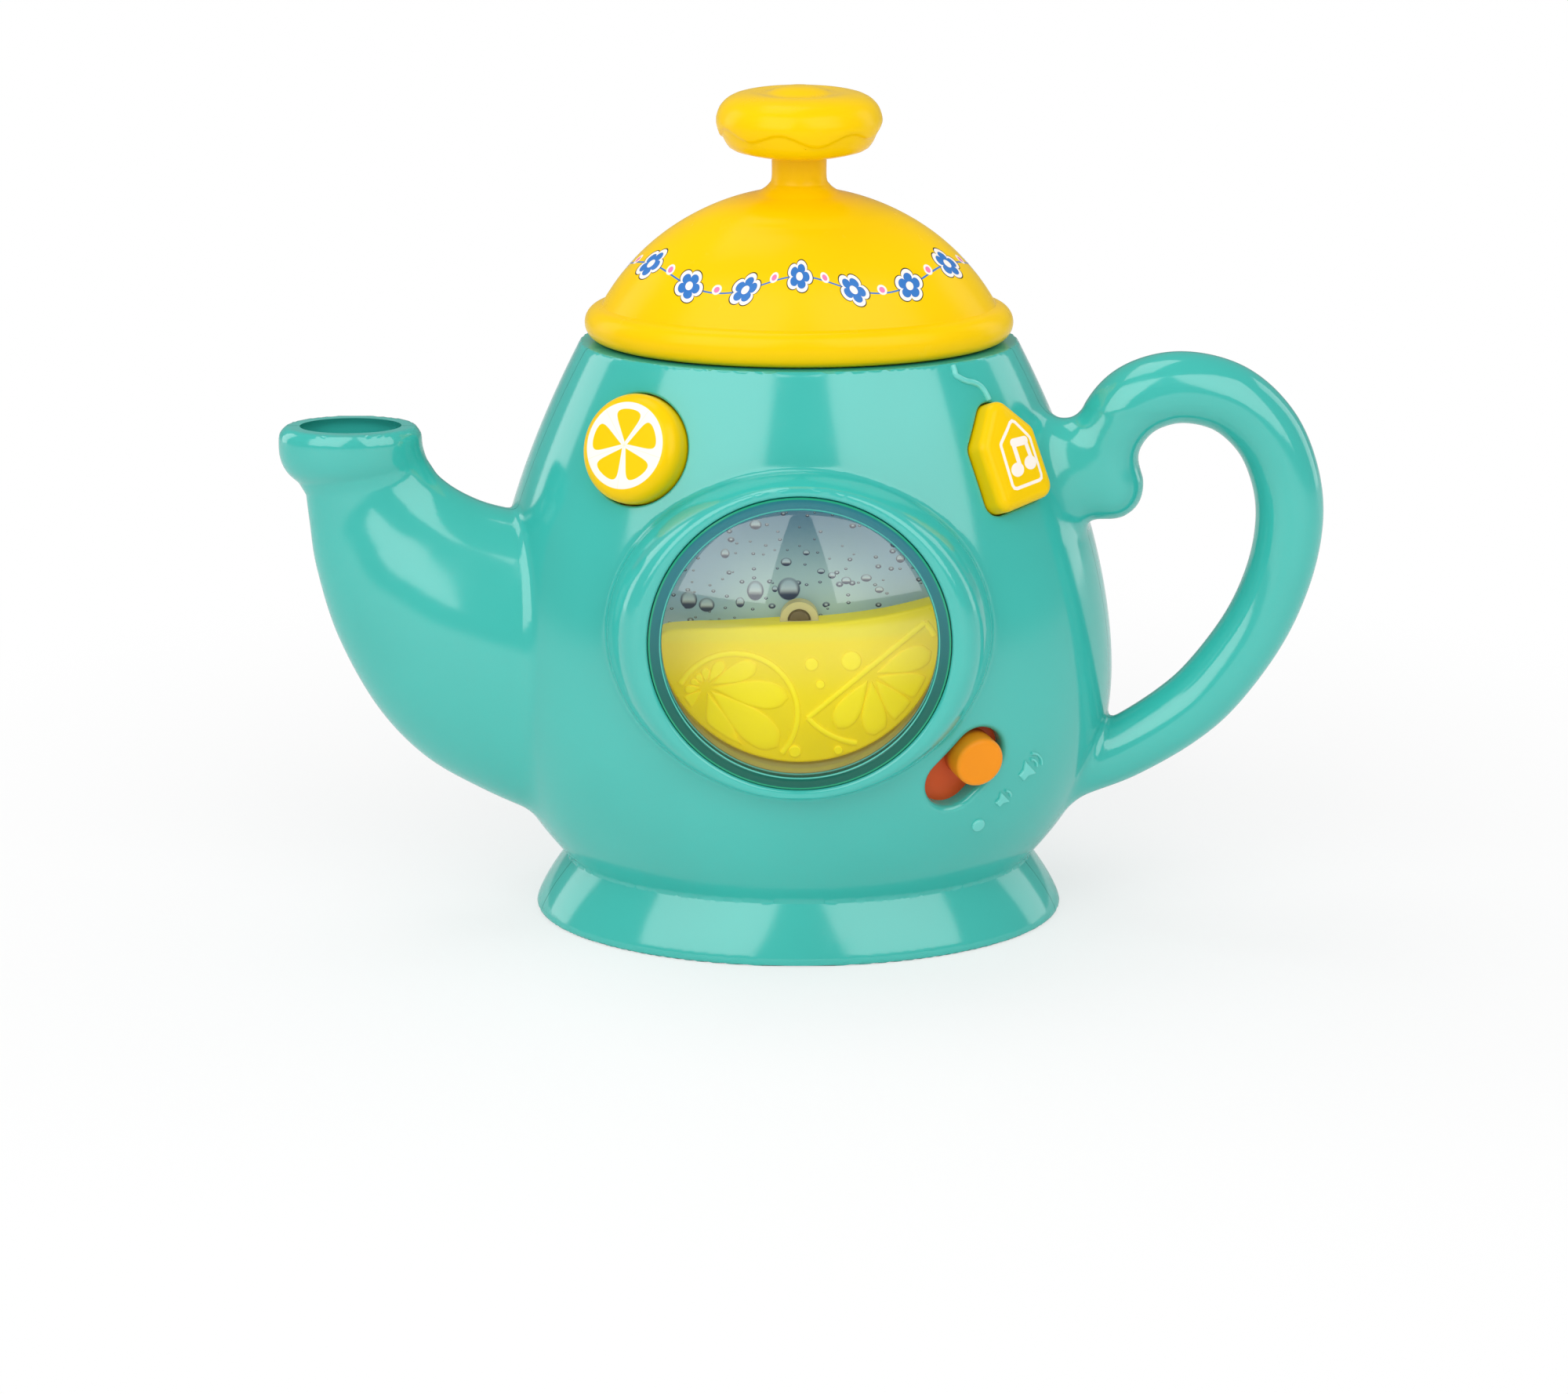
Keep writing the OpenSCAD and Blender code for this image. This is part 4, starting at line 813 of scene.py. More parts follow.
lemon = {
    "x": -37.3,
    "z": 121.1,
    "radius": 12.6,
    "out": 4.6,
    "edge": 3.96,
    "gap": 0.35,
}
tag = {
    "x": 46.6,
    "z": 118.4,
    "turn": 8.0,
    "width": 17.4,
    "height": 24.6,
    "shoulder": 0.66,
    "peak": 3.6,
    "rounding": 3.2,
    "out": 4.6,
    "edge": 2.3,
    "crown": 0.5,
    "gap": 0.35,
}
slot = {
    "x": 38.5,
    "z": 48.4,
    "turn": 45.0,
    "run": 9.0,
    "radius": 6.3,
    "depth": 4.6,
    "lip": 1.7,
    "travel": 6.5,
}


def roundedOutline(corners, rounding, grow, steps):
    # corners with arcs, the whole grown outwards
    made = []
    for i, b in enumerate(corners):
        a, c = Vector(corners[i - 1]), Vector(corners[(i + 1) % len(corners)])
        b = Vector(b)
        u, v = (a - b).normalized(), (c - b).normalized()
        half = math.acos(max(-1, min(1, u.dot(v)))) / 2
        middle = b + (u + v).normalized() * rounding / math.sin(half)
        start = math.atan2(*(b + u * rounding / math.tan(half) - middle).yx)
        end = math.atan2(*(b + v * rounding / math.tan(half) - middle).yx)
        turn = (end - start + 3 * math.pi) % (2 * math.pi) - math.pi
        reach = rounding + grow
        for k in range(steps + 1):
            at = start + turn * k / steps
            made.append((middle.x + reach * math.cos(at), middle.y + reach * math.sin(at)))
    return made


def tagOutline(grow, steps=8):
    wide, high = tag["width"] / 2, tag["height"] / 2
    shoulder, peak = mixed(-high, high, tag["shoulder"]), tag["peak"] / 2
    return roundedOutline([(-wide, -high), (wide, -high), (wide, shoulder), (peak, high), (-peak, high),
                           (-wide, shoulder)], tag["rounding"], grow, steps)


def slotOutline(grow, steps=28):
    return stadiumOutline(slot["run"] / 2, slot["radius"] + grow, steps)


lemonAt = frontAt(lemon["x"], lemon["z"])
tagAt = frontAt(tag["x"], tag["z"]) @ Matrix.Rotation(math.radians(tag["turn"]), 4, "Z")
slotAt = frontAt(slot["x"], slot["z"]) @ Matrix.Rotation(math.radians(slot["turn"]), 4, "Z")


def lipMesh(outlineAt, matrix, lip, depth, count=160):
    # a rounded lip that leaves the body's wall and turns down into a hole
    # how far the outline grows, and how far it sinks below the wall
    rows = [(lip + 1.2, 0.5), (lip + 0.5, 0.05), (lip, 0.0)]
    rows += [(lip * (1 - s), lip * (1 - c)) for c, s in arcRows(0, 0, 1, 15, 91, 15)]
    rows += [(0, depth), (1.0, depth), (lip + 1.2, 1.6)]
    turn = np.array(matrix.to_3x3())
    start, out = np.array(matrix.translation) / mm, turn[:, 2]
    rings = []
    for grow, sink in rows:
        ring = resampled(outlineAt(grow), count)
        points = start + np.column_stack([ring, np.zeros(count)]) @ turn.T
        rings.append(ontoBody(points, out) - out * sink)
    return ringsMesh(np.array(rings + rings[:1]), capped=False)


def frameLipMesh():
    edge, bore, wide = window["edgeRounding"], window["bore"], window["lipWidth"]
    rows = [(bore + wide, -1.0), (bore + 1.2, -0.06), (bore + edge, 0)]
    rows += [(bore + edge * (1 - s), -edge * (1 - c)) for c, s in arcRows(0, 0, 1, 15, 91, 15)]
    rows += [(bore, -2.0), (bore, -window["boreDepth"]), (bore + wide, -window["boreDepth"])]
    return moved(latheMesh(rows, 192, closed=True), atWindow(window["frontY"]))


screws = {
    "wellRadius": 4.66,
    "boreRadius": 2.9,
    "wellFront": -10.0,
    "boreFront": -7.0,
    "back": 60.0,
    "sideSpots": [(0.36, 0.235), (0.415, 0.6)],  # shares of the body's width and height
    "aboveWindow": 41.9,
    "spoutSpot": (0.745, 0.5),  # shares of the spout's reach and height
}
grille = {
    "height": 88.0,
    "hole": 1.3,
    "pitch": 4.5,
    "rings": 4,
    "inside": 40.0,
    "outside": 100.0,
}
mouth = {
    "halfWidth": 44.75,
    "halfDepth": 32.22,
    "reach": 4.0,
}
buttonLip = {
    "width": 0.6,
    "depth": 5.0,
}
cutDepth = {
    "above": 4.0,
    "slot": 7.0,
    "button": 9.0,
    "window": 40.0,
}


def screwSpots():
    spots = [(side * share * body["bellyWidth"], height * body["rimHeight"])
             for side in (-1, 1) for share, height in screws["sideSpots"]]
    spots.append((0, window["height"] + screws["aboveWindow"]))
    spots.append((-screws["spoutSpot"][0] * spout["reach"], screws["spoutSpot"][1] * spout["height"]))
    x, z, _ = handleLine(2)[handle["screwStep"]]
    return spots + [(x, z)]


def backward(radius, x, z, front, back, segments=64):
    # a cylinder that runs towards the back
    return moved(cylinder(radius, front, back, segments),
                 Matrix.Translation(Vector((x, 0, z)) * mm) @ Matrix.Rotation(math.radians(-90), 4, "X"))


def grilleMesh():
    holes = []
    for ring in range(grille["rings"]):
        radius = ring * grille["pitch"]
        for k in range(max(6 * ring, 1)):
            turn = math.radians(k * 60 / max(ring, 1))
            x, z = radius * math.cos(turn), grille["height"] + radius * math.sin(turn)
            holes.append(backward(grille["hole"], x, z, grille["inside"], grille["outside"], 24))
    return joined(holes)


def lemonHole(grow):
    return discOutline(lemon["radius"] + lemon["gap"] + grow)


def tagHole(grow):
    return tagOutline(tag["gap"] + grow)


def hollowed(skin):
    # cuts out the inside and the spout's channel, and adds the screw wells
    whole = copyOf(skin)
    combine(skin, insideMesh(body["wall"], -1.0, body["rimHeight"] - 2.0))
    channel = newPiece("channel", spoutMesh(spout["wall"], 96, 6, lift=2.0))
    combine(channel, insideMesh(-0.3, 0.0, body["rimHeight"]))
    combine(skin, meshOf(channel))
    rim, reach = body["rimHeight"], mouth["reach"]
    combine(skin, prism(ovalOutline(mouth["halfWidth"], mouth["halfDepth"], 160), rim - reach, rim + reach))
    spots, back = screwSpots(), screws["back"]
    posts = joined([backward(screws["wellRadius"], x, z, screws["wellFront"], back) for x, z in spots])
    wells = newPiece("wells", posts)
    combine(wells, meshOf(whole), "INTERSECT")
    combine(skin, meshOf(wells), "UNION")
    combine(skin, joined([backward(screws["boreRadius"], x, z, screws["boreFront"], back) for x, z in spots]))


def buildFrontShell(shell):
    combine(shell, halfBox(-1), "INTERSECT")
    above, wide = cutDepth["above"], buttonLip["width"]
    combine(shell, moved(cylinder(window["bore"] + window["edgeRounding"], -cutDepth["window"], 5, 192),
                         atWindow(window["frontY"])))
    combine(shell, joined([moved(prism(slotOutline(slot["lip"]), -cutDepth["slot"], above), slotAt),
                           moved(prism(lemonHole(wide), -cutDepth["button"], above), lemonAt),
                           moved(prism(tagHole(wide), -cutDepth["button"], above), tagAt)]))
    lips = [frameLipMesh(), lipMesh(slotOutline, slotAt, slot["lip"], slot["depth"]),
            lipMesh(lemonHole, lemonAt, wide, buttonLip["depth"]),
            lipMesh(tagHole, tagAt, wide, buttonLip["depth"])]
    hull, reliefs = withoutSlivers(shell), joined(signMeshes() + [stringMesh()])
    # the reliefs take the second material, a paler teal painted as highlight
    for mesh, ink in ((hull, 0), (reliefs, 1)):
        for face in mesh.faces:
            face.material_index = ink
    return newPiece("frontShell", joined([hull] + lips + [reliefs]))


def buildRearShell(shell):
    combine(shell, halfBox(1), "INTERSECT")
    combine(shell, grilleMesh())
    return newPiece("rearShell", withoutSlivers(shell))


def buildShells():
    voxel = 0.9
    skin = fusedSkin([(spoutMesh(), spout["fillet"]), (handleMesh(), handle["fillet"]),
                      (handleTipMesh(), handle["tipFillet"]), (handleRootMesh(), handle["rootFillet"]),
                      (flareMesh(), window["fillet"])], voxel)
    print("   skin", len(skin.data.polygons), "faces")
    hollowed(skin)
    print("   hollow", len(skin.data.polygons), "faces")
    back = copyOf(skin)
    front, rear = buildFrontShell(skin), buildRearShell(back)
    for shell, node in ((front, "front_shell"), (rear, "rear_shell")):
        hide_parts(node)
        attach(shell, "pot")
        print("  ", shell.name, len(shell.data.polygons), "faces")
    return front, rear


# raised signs beside the slot and the relief string

signs = {
    "gap": 13.2,
    "pitch": 9.0,
    "start": 0.5,
    "height": 0.6,
    "ridge": 0.34,
    "round": 0.22,
    "sizes": (0.19, 0.5, 0.64),  # dot, small and large loudspeaker as shares of the pitch
    "horn": [(-0.5, -0.2), (-0.22, -0.2), (0.12, -0.5), (0.12, 0.5), (-0.22, 0.2), (-0.5, 0.2)],
    "wave": (0.16, 0.26),  # the first radius and the step as shares of the size
    "waveTurn": 40.0,
}


def signAt(steps):
    # the place beside the slot, counted in steps from its middle
    along = signs["start"] + steps * signs["pitch"]
    c, s = math.cos(math.radians(slot["turn"])), math.sin(math.radians(slot["turn"]))
    side, rise = along * c + signs["gap"] * s, along * s - signs["gap"] * c
    level = slotAt @ Matrix.Rotation(math.radians(-slot["turn"]), 4, "Z")
    return frontAt(slot["x"] + side * level[0][0], slot["z"] + rise)


def pad(outline, low, high, bevel, steps=3):
    # a flat raised shape with a rounded upper edge
    mesh = prism(outline, low, high)
    level = (low + high) / 2 * mm
    top = [edge for edge in mesh.edges if all(vert.co.z > level for vert in edge.verts)]
    bmesh.ops.bevel(mesh, geom=top, offset=bevel * mm, offset_type="OFFSET", segments=steps, profile=0.5,
                    affect="EDGES", clamp_overlap=True, material=-1)
    return mesh


def ontoWall(meshes, matrix):
    # flat shapes whose height is counted from the body's wall under each point
    turn, start = np.array(matrix.to_3x3()), np.array(matrix.translation) / mm
    for mesh in meshes:
        points = np.array([vert.co for vert in mesh.verts]) / mm
        height = points[:, 2].copy()
        points[:, 2] = 0
        placed = ontoBody(start + points @ turn.T, turn[:, 2]) + turn[:, 2] * height[:, None]
        for vert, point in zip(mesh.verts, placed * mm):
            vert.co = point
    return meshes


def slanted(shape):
    # turned as the slot is
    c, s = math.cos(math.radians(slot["turn"])), math.sin(math.radians(slot["turn"]))
    return [(x * c - y * s, x * s + y * c) for x, y in shape]


def speakerMeshes(size, waves):
    horn = slanted([(x * size, y * size) for x, y in signs["horn"]])
    made = [pillow(horn, 0, signs["height"], 96, signs["round"])]
    turns = np.radians(np.linspace(-signs["waveTurn"], signs["waveTurn"], 15))
    for i in range(1, waves + 1):
        radius = size * (signs["wave"][0] + signs["wave"][1] * i)
        arc = slanted([(radius * math.cos(t), radius * math.sin(t)) for t in turns])
        made.append(ridgeMesh(arc, signs["ridge"], signs["height"], 0))
    return made


def signMeshes():
    dot, small, large = [share * signs["pitch"] for share in signs["sizes"]]
    return (ontoWall([pillow(discOutline(dot, 32), 0, signs["height"], 48, signs["round"])], signAt(-1))
            + ontoWall(speakerMeshes(small, 1), signAt(0)) + ontoWall(speakerMeshes(large, 2), signAt(1)))


stringRun = {
    "path": [(34.7, 139.1), (35.1, 138.0), (35.4, 137.0), (36.3, 136.3), (37.9, 135.4), (39.4, 134.9),
             (40.7, 134.2), (41.8, 133.1), (42.7, 131.6), (43.2, 130.6)],
    "radius": 0.72,
    "lift": 0.12,
}


def stringMesh(across=16):
    x, z = smoothRows(stringRun["path"], 8).T
    y = -halfDepth(z) * np.sqrt(1 - (x / halfWidth(z)) ** 2)
    middle = np.column_stack([x, y, z])
    out = bodyField(middle)[1]
    side, radius = np.cross(runOf(middle), out), stringRun["radius"]
    return tubeMesh(middle + out * stringRun["lift"], side * radius, out * radius, across)


newFloor()
dressWorld()
print("building the shells")
frontShell, rearShell = buildShells()

# the lens

lens = {
    "clearRadius": 31.0,
    "rise": 8.5,
    "thickness": 2.2,
    "backY": -55.0,
    "front": 3.3,
    "edge": 34.05,
    "flange": (35.4, 1.6),
    # steps outwards and down from the dome's foot, then from the outer edge
    "foot": [(0.25, 0.35), (0.55, 0.1)],
    "shoulder": [(0.1, 0.2), (0.0, 0.5)],
    "swell": 0.1,
}


def capArc(ball, reach, base, steps=28):
    # a ball's cap from its pole to its foot at reach and base
    edge = math.asin(reach / ball)
    return [(ball * math.sin(edge * i / steps), base + ball * (math.cos(edge * i / steps) - math.cos(edge)))
            for i in range(steps + 1)]


def buildLens():
    clear, front, edge, thick = lens["clearRadius"], lens["front"], lens["edge"], lens["thickness"]
    ball, inner = (clear ** 2 + lens["rise"] ** 2) / (2 * lens["rise"]), clear - thick / 2
    wide, high = lens["flange"]
    outline = capArc(ball, clear, front) + [(clear + out, front - down) for out, down in lens["foot"]]
    start, level = outline[-1]
    for t in (0.3, 0.6, 0.9):
        outline.append((mixed(start, edge - 0.4, t), level + lens["swell"] * math.sin(math.pi * t)))
    outline += [(edge - back, front - down) for back, down in lens["shoulder"]]
    outline += [(edge, high), (wide, high), (wide, 0), (inner, 0)]
    outline += list(reversed(capArc(ball - thick, inner, front - thick / 2)))
    piece = newPiece("clearLens", moved(latheMesh(outline, 160), atWindow(lens["backY"])))
    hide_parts("window_lens")
    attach(piece, "pot")
    return piece


clearLens = buildLens()
print("lens done")

# buttons

flange = {
    "bottom": -5.55,
    "thickness": 1.2,
    "reach": 1.1,
}


def buildLemonButton():
    radius, edge, out = lemon["radius"], lemon["edge"], lemon["out"]
    bottom, wide = flange["bottom"], radius + flange["reach"]
    top = bottom + flange["thickness"]
    outline = [(0.0, bottom), (wide, bottom), (wide, top), (radius, top)]
    outline += arcRows(radius - edge, out - edge, edge, 0, 91, 6)
    outline += [(radius * share, out) for share in (0.5, 0.3, 0.1, 0.0)]
    piece = newPiece("lemonButton", moved(latheMesh(outline, 128), lemonAt))
    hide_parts("lemon_button")
    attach(piece, "lemon")
    return piece


def buildTagButton(count=168):
    edge, out, crown, bottom = tag["edge"], tag["out"], tag["crown"], flange["bottom"]
    top = bottom + flange["thickness"]
    rows = [(flange["reach"], bottom), (flange["reach"], top), (0.0, top), (0.0, 0.0)]
    rows += arcRows(-edge, out - crown - edge, edge, 0, 91, 9)
    rows += [(-edge - 0.25, out - crown * 0.9), (-edge - 0.5, out - crown * 0.8)]
    rings = [np.column_stack([resampled(tagOutline(grow, 10), count), np.full(count, height)])
             for grow, height in rows]
    last, level = rings[-1][:, :2], rows[-1][1]
    for share in (0.85, 0.65, 0.45, 0.25, 0.1):
        rings.append(np.column_stack([last * share, np.full(count, mixed(out, level, share ** 2))]))
    piece = newPiece("tagButton", moved(ringsMesh(np.array(rings)), tagAt))
    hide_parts("teabag_button")
    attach(piece, "teabag")
    return piece


lemonButton = buildLemonButton()
tagButton = buildTagButton()

# the volume slider, drawn at its loud end

slider = {
    "peg": 5.9,
    "out": 2.4,
    "edge": 1.2,
    "plate": 1.5,
    "plateHalfWidth": 7.7,
    "plateHalfLength": 14.4,
    "tongue": (2.4, 2.0, 3.4),
    "play": 0.35,
}


def buildSlider():
    peg, edge, plate = slider["peg"], slider["edge"], slider["plate"]
    base = -slot["depth"] - slider["play"] - plate
    top = slider["out"] - base
    outline = [(0.0, 0.4), (peg, 0.4)] + arcRows(peg - edge, top - edge, edge, 0, 91, 9)
    outline += [(peg * share, top) for share in (0.7, 0.3, 0.0)]
    half = slider["plateHalfLength"] - slider["plateHalfWidth"]
    foot = prism(stadiumOutline(half, slider["plateHalfWidth"], 25), 0, plate)
    tongue = bmesh.new()
    bmesh.ops.create_cube(tongue, size=mm)
    wide, deep, tall = slider["tongue"]
    moved(tongue, Matrix.Translation((0, 0, -tall / 2 * mm)) @ Matrix.Diagonal((wide, deep, tall, 1)))
    place = slotAt @ Matrix.Translation((slot["travel"] / 2 * mm, 0, base * mm))
    piece = newPiece("volumePeg", moved(joined([latheMesh(outline, 96), foot, tongue]), place))
    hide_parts("volume_slider")
    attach(piece, "volume")
    return piece


volumePeg = buildSlider()
print("buttons and slider done")

# the lid

lid = {
    "z": 139.85,
    "bead": 8.2,
    "domeRadius": 52.8323,
    "beadHalfWidth": 50.07,
    "neckWidth": 12.8,
    "neckTop": 183.069,
    "neckRise": 3.84,
    "bore": 1.6,
    "wall": 2.0,
    "lift": 0.15,
    # the fillet under the neck: shares inwards and up
    "fillet": [(0, 0), (0.34, 0.12), (0.62, 0.32), (0.84, 0.58), (1, 1)],
}


def lidRoundness(radius):
    return np.clip((radius - lid["neckWidth"] / 2) / (lid["beadHalfWidth"] / 2 - lid["neckWidth"] / 2), 0, 1)


def buildLidDome():
    bead, z, wall, top = lid["bead"] / 2, lid["z"], lid["wall"], lid["neckTop"]
    base, crown, neck = lid["beadHalfWidth"] - bead, lid["neckWidth"] * 0.9, lid["neckWidth"] / 2
    middle = z + lid["bead"] + lid["lift"] - math.sqrt(lid["domeRadius"] ** 2 - base ** 2)

    def height(radius):
        return middle + math.sqrt(lid["domeRadius"] ** 2 - radius ** 2)
    outer = [(base, z), (base + 0.6, z)] + arcRows(base, z + bead, bead, -80, 83, 6)
    for share in [0.0, 0.006, 0.014] + list(np.linspace(0.03, 1, 44)):
        radius = mixed(base, crown, share)
        outer.append((radius, height(radius)))
    fillet = [(mixed(crown, neck, s), height(crown) + lid["neckRise"] * t) for s, t in lid["fillet"]]
    outer += [tuple(row) for row in smoothRows(fillet + [(neck, top)], 5)[1:]]
    inner = [(lid["bore"], top), (lid["bore"], height(crown) - 4)]
    inner += [(r - wall, height(r) - wall * 1.1) for r in np.linspace(crown + 1, base, 20)]
    inner += [(base - wall, z + lid["bead"]), (base - wall, z)]
    rows = np.array(outer + inner + [outer[0]])

    def place(u, v):
        radius, level = rows[np.round(v * (len(rows) - 1)).astype(int)].T
        share = mixed(1, body["depthShare"], lidRoundness(radius))
        return roundPoints(radius, radius * share, level, u)
    piece = newPiece("lidDome", warpedGrid(192, len(rows) - 1, place, capped=False))
    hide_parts("lid_dome")
    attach(piece, "lid")
    return piece


knob = {
    "z": 183.219,
    "radius": 19.2,
    "height": 15.6,
    "drips": 7,
    "drip": 0.075,
    "icing": 0.36,
    "icingStep": 0.55,
    # share of the height and share of the radius up the side
    "bun": [(0, 0.6), (0.07, 0.82), (0.15, 0.9), (0.31, 0.965), (0.47, 1), (0.56, 0.995), (0.68, 0.96),
            (0.76, 0.91), (0.82, 0.85), (0.865, 0.775)],
    # share of the radius and share of the height over the dished top
    "crown": [(0.71, 0.887), (0.65, 0.903), (0.58, 0.91), (0.51, 0.907), (0.44, 0.898), (0.39, 0.903),
              (0.345, 0.922), (0.3, 0.948), (0.23, 0.975), (0.15, 0.993), (0.07, 1.0), (0.0, 1.0)],
    "bore": (1.45, 0.42),
    "footRadius": 6.0,
    # heights of the rings below and above the icing's edge
    "below": (0.0, 0.03, 0.07, 0.11, 0.15, 0.19, 0.23),
    "above": (0.68, 0.72, 0.76, 0.79, 0.82, 0.845, 0.865),
    # the edge's rings: share of the step inwards, height from the line, and the drips' share
    "edge": [(1, -0.1, 0.55), (1, -0.05, 0.85), (1, -0.02, 1.0), (0.55, -0.012, 1.0), (0.15, 0, 1.0),
             (0, 0.03, 1.0)],
    # heights over the edge and the drips' share there
    "fade": [(0.44, 0.7), (0.5, 0.45), (0.56, 0.2), (0.62, 0.05)],
}


def buildKnob():
    side = smoothRows(knob["bun"], 8)
    step, line = knob["icingStep"], knob["icing"]

    def bun(level):
        return np.interp(level, side[:, 0], side[:, 1]) * knob["radius"]
    # rows are radius, height, the drips' share, and 1 where the radius counts from the bun
    bore, depth = knob["bore"]
    rows = [(bore, depth, 0, 0), (bore, 0.0, 0, 0), (knob["footRadius"], 0.0, 0, 0)]
    rows += [(bun(level) - step, level, 0, 0) for level in knob["below"]]
    rows += [(-step * inwards, line + rise, drips, 1) for inwards, rise, drips in knob["edge"]]
    rows += [(0.0, level, drips, 1) for level, drips in knob["fade"]]
    rows += [(bun(level), level, 0, 0) for level in knob["above"]]
    rows += [(radius * knob["radius"], level, 0, 0) for radius, level in knob["crown"]]
    rows = np.array(rows)

    def place(u, v):
        reach, level, share, counts = rows[np.round(v * (len(rows) - 1)).astype(int)].T
        turn, drips = 2 * np.pi * u, knob["drips"]
        sway = knob["drip"] * (np.cos(drips * turn) + 0.35 * np.cos((drips - 4) * turn + math.radians(40)))
        level = level + sway * share
        radius = np.where(counts > 0, bun(level) + reach, reach)
        return roundPoints(radius, radius, knob["z"] + level * knob["height"], u)
    piece = newPiece("lidKnob", warpedGrid(144, len(rows) - 1, place), 60)
    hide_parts("lid_knob")
    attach(piece, "lid")
    return piece


wave = {
    "radius": 33.1,
    "backY": -34.0,
    "frontY": -41.0,
    "edge": [(-0.985, -0.11), (-0.93, -0.05), (-0.75, -0.03), (-0.53, -0.025), (-0.3, -0.012), (-0.1, 0),
             (0.15, 0.008), (0.4, 0.035), (0.61, 0.07), (0.8, 0.115), (0.96, 0.16)],
    "hub": 4.36,
    "pinHole": 2.7,
    "hubBack": 3.6,
    "bevel": 0.8,
    "relief": 0.5,
    "ridge": 0.75,
    "slice": (-14.8, -21.2, 14.4),  # middle and radius of the whole slice's rind, from the window's middle
    "sliceHub": (-21.5, -14.8),
    "slicePetals": 11,
    "sliceTurn": -8.0,
    "slicePetal": (0.7, 0.185, 0.2),  # gap to the rind, and half width as a share of the length plus mm
    "half": (15.4, -10.8, 17.6, 40.4),  # middle, radius and slant of the half slice
    "halfPetals": 5,
    "halfPetal": (2.6, 3.2),  # gap to the rind and half width
    "halfHub": 1.6,
    "petalStart": 1.3,
    "petalLeast": 3.2,
    "bubbles": [(11.9, -8.6, 2.4), (2.8, -9.4, 1.6), (4.8, -14.2, 1.1), (-1.0, -30.3, 1.5),
                (9.0, -30.0, 1.1)],
    "margin": 1.4,
    "pinFlange": 2.6,
}


def petalOutline(hub, turn, start, length, spread):
    # a drop shape that points at the hub
    shape = []
    for t in np.linspace(0, 1, 14):
        half = spread * math.sin(math.pi * t * 0.62) * math.sqrt(1 - t ** 6)
        shape.append((mixed(start, length, t), half))
    shape += [(x, -y) for x, y in shape[-2:0:-1]]
    c, s = math.cos(turn), math.sin(turn)
    return [(hub[0] + x * c - y * s, hub[1] + x * s + y * c) for x, y in shape]


def waveReliefs(level):
    rise, ridge = wave["relief"], wave["ridge"]
    limit = wave["radius"] - wave["margin"]
    meshes = []

    def addRidge(path):
        run = []
        for point in list(path) + [(99, 99)]:
            if math.hypot(*point) < limit - ridge / 2:
                run.append(point)
            elif run:
                if len(run) > 2:
                    meshes.append(ridgeMesh(run, ridge, rise, level))
                run = []

    def addPetal(shape):
        shares = [min(1, limit / math.hypot(*point)) for point in shape]
        held = [(a * share, b * share) for (a, b), share in zip(shape, shares)]
        if sum(math.hypot(*point) < limit - 0.3 for point in held) > len(held) / 2:
            meshes.append(pillow(held, level, rise * 0.8))
    x, y, radius = wave["slice"]
    turns = np.linspace(0, 2 * math.pi, 97)
    addRidge([(x + radius * math.cos(t), y + radius * math.sin(t)) for t in turns])
    hub, start = wave["sliceHub"], wave["petalStart"]
    gap, share, least = wave["slicePetal"]
    for k in range(wave["slicePetals"]):
        turn = math.radians(wave["sliceTurn"]) + 2 * math.pi * k / wave["slicePetals"]
        step = Vector((math.cos(turn), math.sin(turn)))
        away = Vector((x - hub[0], y - hub[1]))
        along = away.dot(step)
        aside = away.length_squared - along ** 2
        length = along + math.sqrt(max((radius - ridge - gap) ** 2 - aside, 0.01))
        if length > wave["petalLeast"]:
            addPetal(petalOutline(hub, turn, start, length, length * share + least))
    x, y, radius, slant = wave["half"]
    slant = math.radians(slant)
    turns = slant - np.linspace(0, math.pi, 60)
    arc = [(x + radius * math.cos(t), y + radius * math.sin(t)) for t in turns]
    addRidge(arc)
    addRidge([tuple(mixed(np.array(arc[-1]), np.array(arc[0]), t)) for t in np.linspace(0, 1, 40)])
    hub = (x + wave["halfHub"] * math.sin(slant), y - wave["halfHub"] * math.cos(slant))
    gap, half = wave["halfPetal"]
    for k in range(wave["halfPetals"]):
        turn = slant - math.pi * (k + 0.5) / wave["halfPetals"]
        addPetal(petalOutline(hub, turn, start, radius - gap, half))
    for x, y, radius in wave["bubbles"]:
        meshes.append(pillow([(x + a, y + b) for a, b in discOutline(radius, 32)], level, rise))
    return joined(meshes)


def buildWave():
    low, high = -wave["backY"], -wave["frontY"]
    radius = wave["radius"]
    edge = smoothRows([(x * radius, z * radius) for x, z in wave["edge"]], 6)
    first, last = math.atan2(edge[0][1], edge[0][0]), math.atan2(edge[-1][1], edge[-1][0])
    turns = np.linspace(last, first - (2 * math.pi if first > last else 0), 90)
    rim = [(radius * math.cos(t), radius * math.sin(t)) for t in turns]
    outline = [tuple(p) for p in edge] + rim[1:-1]
    piece = newPiece("wavePlate", pad(outline, low, high, wave["bevel"], 4))
    combine(piece, cylinder(wave["hub"], low, high - wave["hubBack"], 64), "UNION")
    combine(piece, cylinder(wave["pinHole"], low - 1, high - wave["hubBack"] + 0.1, 48))
    piece = newPiece("wavePlate", moved(joined([meshOf(piece), waveReliefs(high)]), atWindow()), 40)
    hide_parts("wave_plate")
    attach(piece, "wave")
    return piece


